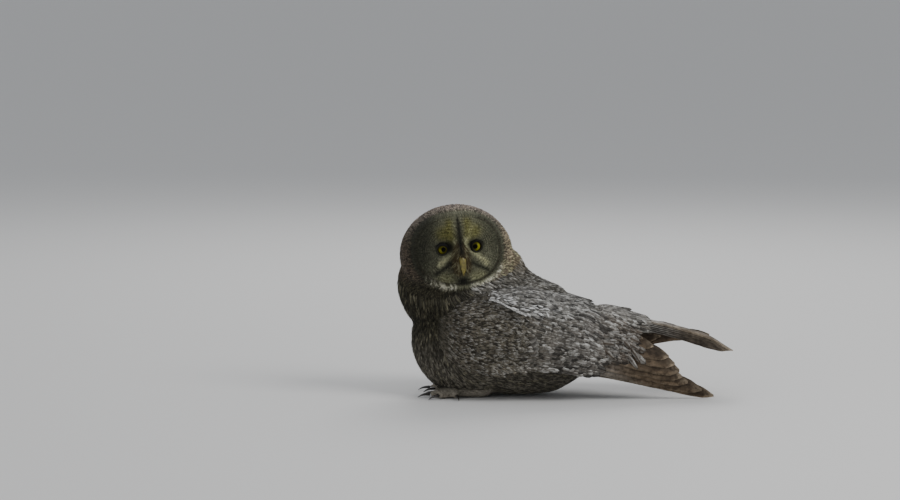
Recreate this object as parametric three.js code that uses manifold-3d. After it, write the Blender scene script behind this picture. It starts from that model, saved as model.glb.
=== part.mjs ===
// A great grey owl sitting low on its belly, life size, in millimetres, +Z up.
// The body lies along X with the breast at -X, and the head is turned to look along -Y.
// The origin is on the floor, under the middle of the flat of the belly.
import * as THREE from "three";
import { mergeVertices } from "three/addons/utils/BufferGeometryUtils.js";
import Module from "manifold-3d";

const wasm = await Module();
wasm.setup();

const { degToRad, lerp, clamp, smoothstep } = THREE.MathUtils;
const gap = 0.3; // clearance between nodes that touch
const left = 1; // the side towards -Y
const right = -1;

// Driving sizes
const torso = { breastX: -214, rumpX: 140, segments: 26, rows: 16 };
const neck = { axisX: -125, middleZ: 175, halfHeight: 90, segments: 24, rows: 10 };
const neckCut = { x: -20, z: 178, slopeDeg: 15 }; // the plane between torso and neck
const head = {
  at: new THREE.Vector3(-140, -6, 236),
  yawDeg: 9.5,
  rollDeg: 4.5,
  pitchDeg: 2,
  halfWidth: 93,
  up: 82,
  down: 79,
  front: 60,
  back: 70,
  segments: 32,
  rows: 18,
};
const disc = {
  halfWidth: 71,
  halfHeight: 57,
  middleZ: 13,
  rim: 4.5,
  rimSpread: 0.1,
  dish: 8,
  dishRadius: 25,
};
const eye = { x: 28.5, z: 15.5, depth: 40, radius: 11.5, lid: 1.7, openWidth: 7.2, openHeight: 6.6 };
const bill = { width: 6.2, depth: 8, rows: 8, segments: 10 };
const ruff = { count: 18, length: 24, halfWidth: 13 };
const bristles = { count: 3, length: 27, halfWidth: 4.5 };
const vaneThickness = { middle: 0.64, edge: 0.52 };
const layer = 1.1; // from one vane's middle to the next one's, where they lie over each other
const tail = { rootX: 100, rootZ: 136, count: 12, length: 220, halfWidth: 21 };
const leg = { outY: 36, heelX: -80, ankleX: -140, radius: 13 };
const toe = { radius: 9, tipRadius: 6.6, splayDeg: [-22, 6, 40, 100], lengths: [34, 39, 33, 25] };
const talon = { radius: 3.2, length: 21 };

const plumageDark = 0x5a5048;
const plumagePale = 0x8c8479;
const faceGrey = 0x7a766c;
const footGrey = 0x8f897e;
const hornYellow = 0xd2b24a;
const clawBlack = 0x1f1c1a;
const irisYellow = 0xe0c020;

// Reads a smooth curve through rows of [x, value, value, ...] at any x
function curveThrough(rows) {
  const values = rows.flatMap((row) => row.slice(1));
  const cubic = new THREE.CubicInterpolant(rows.map((row) => row[0]), values, rows[0].length - 1);
  return (x) => [...cubic.evaluate(x)];
}

// A closed surface: place(angle, t) gives each point, from the first pole at t 0 to the last at t 1
function mould(segments, rows, place) {
  const geometry = new THREE.SphereGeometry(1, segments, rows);
  const { position, uv } = geometry.attributes;
  for (let i = 0; i < position.count; i++) {
    const p = place(uv.getX(i) * 2 * Math.PI, 1 - uv.getY(i));
    position.setXYZ(i, p.x, p.y, p.z);
  }
  return geometry;
}

// A tube along a curve with flat ends, where radii(s) gives its two half widths at s along it
function taperedTube(curve, rings, segments, radii) {
  const { normals, binormals } = curve.computeFrenetFrames(rings - 1);
  return mould(segments, rings + 1, (angle, t) => {
    const ring = clamp(Math.round(t * (rings + 1)) - 1, 0, rings - 1);
    const s = ring / (rings - 1);
    const pole = t < 0.5 / (rings + 1) || t > 1 - 0.5 / (rings + 1);
    const [a, b] = pole ? [0, 0] : radii(s);
    return curve
      .getPointAt(s)
      .addScaledVector(normals[ring], a * Math.cos(angle))
      .addScaledVector(binormals[ring], b * Math.sin(angle));
  });
}

// A thin closed body with three points across each row, split into triangles alike on both faces
function vane(rows, place) {
  const points = [];
  for (const s of rows) {
    for (const face of [1, -1]) {
      for (const across of [-1, 0, 1]) {
        const half = (across === 0 ? vaneThickness.middle : vaneThickness.edge) / 2;
        points.push(place(s, across, face * half));
      }
    }
  }
  const faces = [];
  const quad = (a, b, c, d) => faces.push(a, b, c, a, c, d);
  const at = (row, face, column) => row * 6 + face * 3 + column;
  for (let k = 0; k + 1 < rows.length; k++) {
    for (let c = 0; c < 2; c++) {
      quad(at(k, 0, c), at(k, 0, c + 1), at(k + 1, 0, c + 1), at(k + 1, 0, c));
      quad(at(k, 1, c), at(k + 1, 1, c), at(k + 1, 1, c + 1), at(k, 1, c + 1));
    }
    quad(at(k, 0, 0), at(k + 1, 0, 0), at(k + 1, 1, 0), at(k, 1, 0));
    quad(at(k, 0, 2), at(k, 1, 2), at(k + 1, 1, 2), at(k + 1, 0, 2));
  }
  const tip = rows.length - 1;
  for (let c = 0; c < 2; c++) {
    quad(at(0, 0, c), at(0, 1, c), at(0, 1, c + 1), at(0, 0, c + 1));
    quad(at(tip, 0, c), at(tip, 0, c + 1), at(tip, 1, c + 1), at(tip, 1, c));
  }
  return new THREE.BufferGeometry().setFromPoints(points).setIndex(faces);
}

// A geometry as a solid to join or cut, turned right side out where it was mirrored
function solidOf(geometry) {
  const bare = new THREE.BufferGeometry().setAttribute("position", geometry.attributes.position);
  bare.setIndex(geometry.index);
  const merged = mergeVertices(bare, 1e-3);
  const kept = [];
  for (let i = 0; i < merged.index.count; i += 3) {
    const [a, b, c] = [0, 1, 2].map((k) => merged.index.getX(i + k));
    if (a !== b && b !== c && a !== c) kept.push(a, b, c);
  }
  const build = (triangles) =>
    new wasm.Manifold(
      new wasm.Mesh({
        numProp: 3,
        vertProperties: new Float32Array(merged.attributes.position.array),
        triVerts: new Uint32Array(triangles),
      }),
    );
  const made = build(kept);
  return made.volume() < 0 ? build(kept.reverse()) : made;
}

function joined(solids) {
  return solids.reduce((whole, part) => whole.add(part));
}

// The largest closed surface of a solid, which drops loose scraps and fills sealed hollows
function largest(solid) {
  return solid.decompose().reduce((a, b) => (b.volume() > a.volume() ? b : a));
}

function meshOf(name, solid, colour, roughness = 0.9) {
  const made = largest(solid).getMesh();
  const geometry = new THREE.BufferGeometry();
  geometry.setAttribute("position", new THREE.BufferAttribute(made.vertProperties, 3));
  geometry.setIndex(new THREE.BufferAttribute(made.triVerts, 1));
  geometry.computeVertexNormals();
  const material = new THREE.MeshStandardMaterial({ color: colour, roughness, metalness: 0 });
  const mesh = new THREE.Mesh(geometry, material);
  mesh.name = name;
  return mesh;
}

// Torso and neck
// Rows: place along the torso from -1 at the breast to 1 at the rump, centre height, half width,
// and half heights up and down, each before it is rounded off towards the ends
const torsoShape = curveThrough([
  [-1, 95, 108, 116, 130],
  [-0.7, 91, 101, 103, 118],
  [-0.2, 90, 89, 96, 96],
  [0.1, 90, 86, 96, 94.5],
  [0.38, 93, 81, 88, 95],
  [0.6, 100, 73, 73, 86],
  [0.8, 107, 70, 64, 72],
  [1, 114, 72, 62, 62],
]);

function torsoMould(grow) {
  const middle = (torso.breastX + torso.rumpX) / 2;
  const half = (torso.rumpX - torso.breastX) / 2;
  return mould(torso.segments, torso.rows, (angle, t) => {
    const along = -Math.cos(Math.PI * t);
    const round = Math.sin(Math.PI * t);
    const [centre, out, up, down] = torsoShape(along);
    const rise = Math.cos(angle);
    return new THREE.Vector3(
      middle + (half + grow) * along,
      round * (out + grow) * Math.sin(angle),
      centre + round * ((rise > 0 ? up : down) + grow) * rise,
    );
  });
}

// Rows: place up the neck from -1 to 1, half width, reach to the throat and reach to the mantle
const neckShape = curveThrough([
  [-1, 78, 98, 190],
  [-0.28, 70, 99, 180],
  [0.055, 63, 103, 156],
  [0.17, 61, 106, 133],
  [0.34, 60, 112, 114],
  [0.68, 60, 120, 122],
  [1, 60, 120, 122],
]);

function neckMould(grow) {
  return mould(neck.segments, neck.rows, (angle, t) => {
    const along = -Math.cos(Math.PI * t);
    const round = Math.sin(Math.PI * t);
    const [out, throat, mantle] = neckShape(along);
    const reach = Math.cos(angle) > 0 ? mantle : throat;
    return new THREE.Vector3(
      neck.axisX + round * (reach + grow) * Math.cos(angle),
      round * (out + grow) * Math.sin(angle),
      neck.middleZ + (neck.halfHeight + grow) * along,
    );
  });
}

// Torso and neck in one, on the flat of the belly
function bodySolid(grow) {
  return solidOf(torsoMould(grow)).add(solidOf(neckMould(grow))).trimByPlane([0, 0, 1], -grow);
}

// Head, in its own frame: X to the viewer's right, Z up, the face towards -Y
const headFrame = new THREE.Group();
headFrame.position.copy(head.at);
headFrame.rotation.set(degToRad(head.pitchDeg), degToRad(-head.rollDeg), degToRad(head.yawDeg), "ZYX");
headFrame.updateMatrix();

// How far the face stands in front of the head's middle at x, z
function faceDepth(x, z) {
  const outward = Math.hypot(x / head.halfWidth, z / (z > 0 ? head.up : head.down));
  const ring = Math.hypot(x / disc.halfWidth, (z - disc.middleZ) / disc.halfHeight);
  const dished = Math.hypot(Math.abs(x) - eye.x, z - eye.z) / disc.dishRadius;
  const rim = disc.rim * Math.exp(-(((ring - 1) / disc.rimSpread) ** 2));
  const ridge = 7 * Math.exp(-((x / 9) ** 2) - ((z - 15) / 34) ** 2);
  const crown = 1 - smoothstep(ring, 1.05, 1.35);
  const shell = head.front * Math.cbrt(Math.max(0, 1 - outward ** 3));
  return shell + (rim + ridge - disc.dish * Math.exp(-(dished ** 2))) * crown;
}

function headPoint(angle, t, lift) {
  const polar = t < 0.5 ? degToRad(62) * t * 2 : lerp(degToRad(62), Math.PI, t * 2 - 1);
  const [across, rise] = [Math.sin(polar) * Math.cos(angle), Math.sin(polar) * Math.sin(angle)];
  const x = head.halfWidth * across;
  const z = (rise > 0 ? head.up : head.down) * rise;
  const behind = -head.back * Math.cos(polar);
  const y = Math.cos(polar) > 0 ? -faceDepth(x, z) : behind;
  const out = new THREE.Vector3(x, y, z);
  return out.addScaledVector(new THREE.Vector3(across, -Math.cos(polar), rise), lift);
}

function headCore(lift) {
  return mould(head.segments, head.rows, (angle, t) => headPoint(angle, t, lift));
}

function ball(radius, x, y, z, segments = 14, rows = 9) {
  return solidOf(new THREE.SphereGeometry(radius, segments, rows).translate(x, y, z));
}

function lidsOf(side) {
  const spot = [side * eye.x, -eye.depth, eye.z];
  const shell = ball(eye.radius + gap + eye.lid, ...spot);
  const opening = new THREE.SphereGeometry(1, 12, 6)
    .scale(eye.openWidth, 3 * eye.radius, eye.openHeight)
    .translate(spot[0], spot[1] - 3.2 * eye.radius, spot[2]);
  return shell.subtract(solidOf(opening));
}

// Short vanes that lie outwards over the rim of the disc, each with one edge over the next
function ruffVanes() {
  const vanes = [];
  for (let i = 0; i < ruff.count; i++) {
    const turn = (i / ruff.count) * 2 * Math.PI;
    const widths = curveThrough([[0, 0.7], [0.45, 1], [0.8, 0.85], [1, 0.35]]);
    const rimX = disc.halfWidth * Math.cos(turn);
    const rimZ = disc.middleZ + disc.halfHeight * Math.sin(turn);
    const out = new THREE.Vector2(Math.cos(turn), Math.sin(turn));
    const reach = ruff.length * (1 - 0.35 * Math.max(0, Math.sin(turn)) ** 4);
    vanes.push(
      vane([0, 0.6, 1], (s, across, lift) => {
        const span = lerp(-0.42, 0.58, s) * reach;
        const aside = across * ruff.halfWidth * widths(s)[0];
        const x = rimX + out.x * span - out.y * aside;
        const z = rimZ + out.y * span + out.x * aside;
        const y = -faceDepth(x, z) - lerp(-3, 1.6, smoothstep(s, 0, 0.5)) + across * layer;
        return new THREE.Vector3(x, y + lift, z);
      }),
    );
  }
  return vanes.map(solidOf);
}

// Flat tapered bristles that sweep down and out from between the eyes, beside the bill
function bristleLocks() {
  const locks = [];
  for (const side of [1, -1]) {
    for (let i = 0; i < bristles.count; i++) {
      const f = i / (bristles.count - 1);
      const root = new THREE.Vector2(side * lerp(7, 9, f), lerp(14, -15, f));
      const lie = degToRad(lerp(-38, -72, f));
      const way = new THREE.Vector2(side * Math.cos(lie), Math.sin(lie));
      locks.push(
        vane([0, 0.5, 1], (s, across, lift) => {
          const aside = across * bristles.halfWidth * (1 - 0.75 * s);
          const x = root.x + way.x * s * bristles.length - way.y * aside;
          const z = root.y + way.y * s * bristles.length + way.x * aside;
          const y = -faceDepth(x, z) - lerp(-2, 2.4, smoothstep(s, 0, 0.5)) - 0.4 * f;
          return new THREE.Vector3(x, y + lift, z);
        }),
      );
    }
  }
  return locks.map(solidOf);
}

const billLine = new THREE.CatmullRomCurve3([
  new THREE.Vector3(0, -52, 7),
  new THREE.Vector3(0, -65, 5),
  new THREE.Vector3(0, -72, -5),
  new THREE.Vector3(0, -74, -17),
  new THREE.Vector3(0, -71, -28),
]);

function upperBill(grow) {
  const taper = curveThrough([
    [0, 1, 1],
    [0.35, 0.98, 0.95],
    [0.7, 0.72, 0.62],
    [0.9, 0.36, 0.3],
    [1, 0.1, 0.1],
  ]);
  return solidOf(
    taperedTube(billLine, bill.rows, bill.segments, (s) => {
      const [wide, deep] = taper(s);
      return [wide * bill.width + grow, deep * bill.depth + grow];
    }),
  );
}

function lowerBill(grow) {
  const line = new THREE.CatmullRomCurve3([
    new THREE.Vector3(0, -48, 0),
    new THREE.Vector3(0, -60.5, -6),
    new THREE.Vector3(0, -67.5, -21),
  ]);
  return solidOf(
    taperedTube(line, 5, 10, (s) => [lerp(5, 1.2, s * s) + grow, lerp(5, 1, s) + grow]),
  );
}

function buildHead() {
  const group = new THREE.Group();
  group.position.copy(headFrame.position);
  group.rotation.copy(headFrame.rotation);
  const toHead = headFrame.matrix.clone().invert();
  const neckThere = neckMould(gap).applyMatrix4(toHead);
  const trim = joined([...ruffVanes(), ...bristleLocks()]).subtract(solidOf(neckThere));
  let skull = joined([solidOf(headCore(0)), trim]);
  for (const side of [1, -1]) skull = skull.add(lidsOf(side));
  for (const side of [1, -1]) {
    const spot = [side * eye.x, -eye.depth, eye.z];
    skull = skull.subtract(ball(eye.radius + gap, ...spot));
    const name = side > 0 ? "eye_left" : "eye_right";
    group.add(meshOf(name, ball(eye.radius, ...spot), irisYellow, 0.1));
  }
  skull = skull.subtract(upperBill(gap)).subtract(lowerBill(gap));
  let upper = upperBill(0);
  for (const side of [1, -1]) upper = upper.subtract(ball(1.1, side * 5.4, -65.5, 3, 8, 6));
  group.add(meshOf("head", skull, faceGrey));
  group.add(meshOf("bill_upper", upper, hornYellow, 0.45));
  group.add(meshOf("bill_lower", lowerBill(0).subtract(upperBill(gap)), hornYellow, 0.45));
  return group;
}

// Wings. A folded wing wraps a smooth hull, and each vane is placed on it by X and by the turn
// from the top of the back, at a height above it that all vanes of one tier work out alike.
// Rows: X, centre height, half width and half height of the hull
const nearWing = {
  name: "wing_left",
  side: left,
  hull: curveThrough([
    [-170, 92, 70, 74],
    [-120, 88, 86, 88],
    [-70, 91, 91, 94],
    [-20, 88, 91, 94],
    [30, 82, 87, 87],
    [90, 72, 80, 78],
    [150, 58, 70, 68],
    [210, 41, 61, 58],
    [290, 17, 52, 48],
  ]),
};
const farWing = {
  name: "wing_right",
  side: right,
  hull: curveThrough([
    [-170, 92, 70, 74],
    [-120, 88, 86, 88],
    [-70, 91, 91, 94],
    [-20, 89, 91, 92],
    [30, 88, 87, 81],
    [90, 87, 79, 70],
    [150, 92, 69, 53],
    [210, 100, 59, 35],
    [290, 100, 48, 26],
  ]),
};

// Rows: feather, then root X and turn, tip X and turn in degrees, and half width
const quillWidths = [[0, 0.5], [0.3, 0.85], [0.65, 1], [0.9, 0.78], [1, 0.28]];
const covertWidths = [[0, 0.6], [0.4, 1], [0.82, 0.84], [1, 0.32]];
const wingLayer = 1.7; // from one wing vane's middle to the next one's
const remexTier = {
  last: 10,
  stations: [20, 95, 160, 212, 252],
  widths: quillWidths,
  feathers: curveThrough([
    [0, -58, 104, 204, 106, 13],
    [1, -58, 101, 252, 107, 15],
    [2, -58, 98, 284, 105, 16],
    [3, -58, 94, 272, 101, 17],
    [5, -58, 85, 240, 89, 19],
    [7, -58, 74, 231, 75, 20],
    [8.5, -58, 65, 218, 63, 20],
    [10, -58, 55, 186, 51, 20],
  ]),
  level: () => 1.3,
  layersBelow: (turn) => 1.8 * Math.log(1 + Math.exp((97 - turn) / 9)),
  dip: 0,
};
const shoulder = (turn) => smoothstep(turn, 40, 62) * (1 - smoothstep(turn, 84, 106));
const greaterCovertTier = {
  last: 5,
  stations: [-20, 50],
  widths: covertWidths,
  feathers: curveThrough([
    [0, -66, 101, 84, 103, 16],
    [2.5, -70, 79, 96, 78, 18],
    [5, -66, 57, 74, 55, 17],
  ]),
  level: (turn) => 8.6 + 4.4 * shoulder(turn),
  layersBelow: (turn) => (103 - turn) / 9 - 1.3,
  dip: 2,
};
const medianCovertTier = {
  last: 4,
  stations: [-70, -35],
  widths: covertWidths,
  feathers: curveThrough([
    [0, -110, 103, -14, 104, 15],
    [2, -116, 88, -4, 88, 16],
    [4, -112, 73, -12, 73, 16],
  ]),
  level: (turn) => 11.4 + 6.4 * shoulder(turn),
  layersBelow: (turn) => (105 - turn) / 7.8 - 1.3,
  dip: 6,
};
const scapularRise = (turn) => lerp(6, 17, clamp((turn - 20) / 40, 0, 1));
const longScapularTier = {
  last: 2,
  stations: [10, 70],
  widths: covertWidths,
  feathers: curveThrough([
    [0, -60, 54, 66, 57, 18],
    [1, -58, 45, 100, 44, 19],
    [2, -56, 36, 114, 32, 19],
  ]),
  level: scapularRise,
  layersBelow: (turn) => (54 - turn) / 9 - 1.2,
  dip: 1.5,
};
const shortScapularTier = {
  last: 2,
  stations: [-75, -35],
  widths: covertWidths,
  feathers: curveThrough([
    [0, -104, 59, -26, 63, 17],
    [1, -102, 50, -10, 52, 18],
    [2, -98, 41, 4, 41, 18],
  ]),
  level: (turn) => scapularRise(turn) + 5,
  layersBelow: (turn) => (60 - turn) / 9 - 1.2,
  dip: 7,
};
const wingTiers = [remexTier, greaterCovertTier, medianCovertTier, longScapularTier, shortScapularTier];
const wingCore = { x: -90, halfLength: 79, turn: 67, halfTurn: 48, segments: 16, rows: 9 };
const coreThickness = curveThrough([[-170, 14], [-115, 19], [-60, 18], [-10, 16]]);

function hullPoint(wing, x, turnDeg, lift) {
  const [centre, out, rise] = wing.hull(x);
  const turn = degToRad(turnDeg);
  return new THREE.Vector3(
    x,
    -wing.side * (out + lift) * Math.sin(turn),
    centre + (rise + lift) * Math.cos(turn),
  );
}

function wingVane(wing, tier, i) {
  const [rootX, rootTurn, tipX, tipTurn, halfWidth] = tier.feathers(i);
  const widthAt = curveThrough(tier.widths);
  const inside = tier.stations.filter((x) => x > rootX + 15 && x < tipX - 12);
  return vane([rootX, ...inside, tipX], (x, across, lift) => {
    const s = (x - rootX) / (tipX - rootX);
    const [, out, rise] = wing.hull(x);
    const perDegree = degToRad((out + rise) / 2);
    const lie = Math.atan2((tipTurn - rootTurn) * perDegree, tipX - rootX);
    const aside = across * halfWidth * widthAt(s)[0];
    const turn = lerp(rootTurn, tipTurn, s) + (aside * Math.cos(lie)) / perDegree;
    const height = tier.level(turn) + wingLayer * (i - tier.layersBelow(turn));
    const sunk = tier.dip * (1 - smoothstep(x, tier.stations[0] - 40, tier.stations[0]));
    return hullPoint(wing, x - aside * Math.sin(lie), turn, height - sunk + lift);
  });
}

function buildWing(wing, keepOut) {
  const core = mould(wingCore.segments, wingCore.rows, (angle, t) => {
    const round = Math.sin(Math.PI * t) ** 0.6;
    const x = wingCore.x - wingCore.halfLength * Math.cos(Math.PI * t);
    const turn = wingCore.turn + wingCore.halfTurn * round * Math.sin(angle);
    const out = Math.cos(angle);
    return hullPoint(wing, x, turn, round * (out > 0 ? coreThickness(x)[0] * out ** 0.6 : 2 * out));
  });
  const pieces = [solidOf(core)];
  for (const tier of wingTiers) {
    for (let i = 0; i <= tier.last; i++) pieces.push(solidOf(wingVane(wing, tier, i)));
  }
  return meshOf(wing.name, joined(pieces).subtract(keepOut), plumageDark);
}

// Tail: the middle pair of feathers lies on top, and each pair further out lies lower
const tailSlope = 0.1;
const tailBend = 0.00062;

function tailPoint(along, aside, lift) {
  const z = tail.rootZ - tailSlope * along - tailBend * along ** 2 - 0.003 * aside ** 2;
  return new THREE.Vector3(tail.rootX + along, aside, z + lift);
}

function tailVane(root, tip, halfWidth, height, rows) {
  const widthAt = curveThrough([[0, 0.5], [0.25, 0.8], [0.6, 1], [0.88, 0.92], [1, 0.4]]);
  return vane(rows, (s, across, lift) =>
    tailPoint(
      lerp(root[0], tip[0], s),
      lerp(root[1], tip[1], s) + across * halfWidth * widthAt(s)[0],
      height + lift,
    ),
  );
}

// Rows: place along the tail's root from -1 to 1, half width, half height and drop
const tailRoot = curveThrough([
  [-1, 36, 30, 12],
  [-0.2, 35, 24, 12],
  [0.4, 36, 17, 9],
  [1, 36, 13, 7],
]);

function tailCore(grow) {
  return solidOf(
    mould(18, 10, (angle, t) => {
      const along = -Math.cos(Math.PI * t);
      const round = Math.sin(Math.PI * t) ** 0.7;
      const [out, rise, drop] = tailRoot(along);
      const height = round * (rise + grow) * Math.cos(angle) - drop;
      return tailPoint(40 + (50 + grow) * along, round * (out + grow) * Math.sin(angle), height);
    }),
  );
}

function buildTail(keepOut) {
  const vanes = [];
  const fan = (count, root, tip, spread, halfWidth, heightOf, rows) => {
    for (let i = 0; i < count; i++) {
      const off = i - (count - 1) / 2;
      const pair = Math.floor(Math.abs(off));
      const rank = 2 * pair + (off > 0 ? 0 : 1);
      const shorter = 1 - 0.02 * pair;
      const ends = [[root, off * spread[0]], [root + (tip - root) * shorter, off * spread[1]]];
      vanes.push(tailVane(...ends, halfWidth, heightOf(rank), rows));
    }
  };
  const long = [0, 0.3, 0.65, 0.93, 1];
  const short = [0, 0.6, 1];
  fan(tail.count, 6, tail.length, [1.5, 4.1], tail.halfWidth, (rank) => -layer * rank, long);
  fan(5, 30, 92, [8, 12], 15, (rank) => layer * (5.6 - rank), short);
  fan(4, 30, 122, [9, 12], 15, (rank) => -layer * (12.6 + rank), short);
  const pieces = joined(vanes.map(solidOf)).subtract(keepOut);
  return meshOf("tail", tailCore(0).add(pieces), plumageDark);
}

// Legs, folded under the belly, with feathered toes on the floor in front
function flattened(geometry, floor) {
  const { position } = geometry.attributes;
  for (let i = 0; i < position.count; i++) position.setZ(i, Math.max(floor, position.getZ(i)));
  return geometry;
}

// The room for a leg or foot is cut a little deeper than the floor
const floorOf = (grow) => (grow > 0 ? -1 : 0);

function legSolid(side, grow) {
  const line = new THREE.CatmullRomCurve3([
    new THREE.Vector3(leg.heelX + grow, -side * leg.outY, 12),
    new THREE.Vector3((leg.heelX + leg.ankleX) / 2, -side * leg.outY, 10.5),
    new THREE.Vector3(leg.ankleX + 8 - grow, -side * leg.outY, 9),
  ]);
  const tube = taperedTube(line, 5, 10, (s) => {
    const radius = (s < 0.05 ? 0.55 : 1) * (lerp(leg.radius, 10, s) + grow);
    return [radius, radius];
  });
  return solidOf(flattened(tube, floorOf(grow))).trimByPlane([1, 0, 0], leg.ankleX + 8 - grow);
}

function toeWay(side, i) {
  const splay = degToRad(toe.splayDeg[i]);
  return new THREE.Vector3(-Math.cos(splay), -side * Math.sin(splay), 0);
}

function footSolid(side, grow) {
  const palm = new THREE.Vector3(leg.ankleX - 2, -side * leg.outY, 7);
  const pieces = [
    solidOf(
      flattened(
        new THREE.SphereGeometry(1, 12, 8).scale(13 + grow, 12 + grow, 11 + grow).translate(...palm),
        floorOf(grow),
      ),
    ),
  ];
  toe.lengths.forEach((length, i) => {
    const way = toeWay(side, i);
    const line = new THREE.CatmullRomCurve3([
      palm.clone(),
      palm.clone().addScaledVector(way, length * 0.5),
      palm.clone().addScaledVector(way, length + grow).setZ(toe.tipRadius - 0.6),
    ]);
    const tube = taperedTube(line, 4, 8, (s) => {
      const radius = lerp(toe.radius, toe.tipRadius, s) + grow;
      return [radius, radius];
    });
    pieces.push(solidOf(flattened(tube, floorOf(grow))));
  });
  return joined(pieces).trimByPlane([-1, 0, 0], -(leg.ankleX + 8 - gap));
}

function talonSolid(side, i) {
  const way = toeWay(side, i);
  const start = new THREE.Vector3(leg.ankleX - 2, -side * leg.outY, toe.tipRadius - 0.4);
  start.addScaledVector(way, toe.lengths[i] + gap);
  const at = (forward, z) => start.clone().addScaledVector(way, forward * talon.length).setZ(z);
  const line = new THREE.CatmullRomCurve3([start, at(0.4, 6.2), at(0.78, 4.2), at(1, 0.9)]);
  return solidOf(
    taperedTube(line, 4, 6, (s) => {
      const radius = lerp(talon.radius, 0.5, s ** 1.3);
      return [radius, radius];
    }),
  );
}

function build() {
  const owl = new THREE.Group();
  const body = bodySolid(0);
  const bodyRoom = bodySolid(gap);
  const slope = degToRad(neckCut.slopeDeg);
  const normal = [-Math.sin(slope), 0, Math.cos(slope)];
  const offset = normal[0] * neckCut.x + normal[2] * neckCut.z;
  const headRoom = solidOf(headCore(gap).applyMatrix4(headFrame.matrix));

  let trunk = body.trimByPlane(normal.map((n) => -n), -offset);
  for (const side of [left, right]) {
    trunk = trunk.subtract(legSolid(side, gap)).subtract(footSolid(side, gap));
  }
  trunk = trunk.subtract(tailCore(gap)).subtract(headRoom);
  const collar = body.trimByPlane(normal, offset + gap).subtract(headRoom);
  owl.add(meshOf("torso", trunk, plumagePale));
  owl.add(meshOf("neck", collar, plumageDark));
  owl.add(buildHead());
  for (const wing of [nearWing, farWing]) owl.add(buildWing(wing, bodyRoom));
  owl.add(buildTail(solidOf(torsoMould(gap)).subtract(tailCore(0))));
  for (const side of [left, right]) {
    const word = side === left ? "left" : "right";
    owl.add(meshOf("leg_" + word, legSolid(side, 0), footGrey));
    owl.add(meshOf("foot_" + word, footSolid(side, 0), footGrey));
    const footRoom = footSolid(side, gap);
    toe.lengths.forEach((_, i) => {
      const made = talonSolid(side, i).subtract(footRoom);
      owl.add(meshOf("talon_" + word + "_" + (i + 1), made, clawBlack, 0.35));
    });
  }
  return owl;
}

export default build();
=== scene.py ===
# A great grey owl resting low on its belly, life size: a skin, a coat of feathers over it,
# and tiers of wing and tail feathers. The dictionaries are in millimetres, the meshes in metres.
import math
import bpy
import bmesh
import numpy as np
from mathutils import Matrix, Vector
from mathutils.bvhtree import BVHTree


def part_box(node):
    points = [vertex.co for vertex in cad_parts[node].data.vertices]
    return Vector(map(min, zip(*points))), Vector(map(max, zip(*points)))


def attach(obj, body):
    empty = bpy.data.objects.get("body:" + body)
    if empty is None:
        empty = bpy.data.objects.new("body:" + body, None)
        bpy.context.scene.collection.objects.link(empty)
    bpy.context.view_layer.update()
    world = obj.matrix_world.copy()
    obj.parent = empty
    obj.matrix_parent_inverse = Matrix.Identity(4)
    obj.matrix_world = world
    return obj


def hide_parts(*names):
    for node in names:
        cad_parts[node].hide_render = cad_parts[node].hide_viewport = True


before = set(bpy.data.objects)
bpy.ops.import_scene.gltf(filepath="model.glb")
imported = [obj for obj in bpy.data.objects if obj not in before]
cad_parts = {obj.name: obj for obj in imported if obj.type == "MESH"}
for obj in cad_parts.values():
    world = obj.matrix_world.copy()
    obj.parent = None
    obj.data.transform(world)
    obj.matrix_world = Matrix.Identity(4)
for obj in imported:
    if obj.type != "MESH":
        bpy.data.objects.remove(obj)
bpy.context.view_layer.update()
chance = np.random.default_rng(11)
mm = 0.001


def linear(text):
    c = np.array([int(text[i:i + 2], 16) / 255 for i in (0, 2, 4)])
    return np.where(c <= 0.04045, c / 12.92, ((c + 0.055) / 1.055) ** 2.4)


def curveThrough(rows):  # a smooth curve through rows of [x, value, ...]
    rows = np.array(rows, float)
    xs, ys = rows[:, 0], rows[:, 1:]
    slopes = np.gradient(ys, xs, axis=0)

    def at(x):
        x = np.clip(np.asarray(x, float), xs[0], xs[-1])
        k = np.clip(np.searchsorted(xs, x, side="right") - 1, 0, len(xs) - 2)
        h = (xs[k + 1] - xs[k])[..., None]
        s = (x - xs[k])[..., None] / h
        a, b = ys[k], ys[k + 1]
        ma, mb = slopes[k] * h, slopes[k + 1] * h
        value = a + s * ma + s * s * (3 * (b - a) - 2 * ma - mb) + s ** 3 * (2 * (a - b) + ma + mb)
        return np.moveaxis(value, -1, 0)

    return at


def ease(x, a, b):  # 0 at a and 1 at b
    s = np.clip((x - a) / (b - a), 0, 1)
    return s * s * (3 - 2 * s)


def blendTo(a, b, f):
    return a + (b - a) * np.asarray(f)[..., None]


def unit(v):
    return v / np.maximum(np.linalg.norm(v, axis=-1, keepdims=True), 1e-9)


def same(s, *values):  # the same values at every point
    return np.stack([value + 0 * s for value in values], -1)


waveWays = np.random.default_rng(3).normal(size=(7, 3))
waveStarts = np.random.default_rng(4).uniform(0, 6.28, 7)


def cloudy(p, size):  # soft patches between -1 and 1, about that many millimetres across
    turns = (p @ waveWays.T) * (2.2 / size) + waveStarts
    return np.sin(turns + 1.3 * np.sin(turns[..., ::-1] * 0.7)).sum(-1) / 3.2


# Shapes shared by the skin, the coat and the wings

torsoSize = {"breastX": -214, "rumpX": 140}
torsoShape = curveThrough([
    [-1, 95, 108, 116, 130], [-0.7, 91, 101, 103, 118], [-0.2, 90, 89, 96, 96], [0.1, 90, 86, 96, 94.5],
    [0.38, 93, 81, 88, 95], [0.6, 100, 73, 73, 86], [0.8, 107, 70, 64, 72], [1, 114, 72, 62, 62],
])
neckShape = curveThrough([
    [-1, 78, 104, 190], [-0.28, 72, 106, 180], [0.055, 66, 110, 156], [0.17, 64, 112, 133],
    [0.34, 61, 115, 114], [0.68, 60, 120, 119], [1, 60, 120, 119],
])


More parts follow.
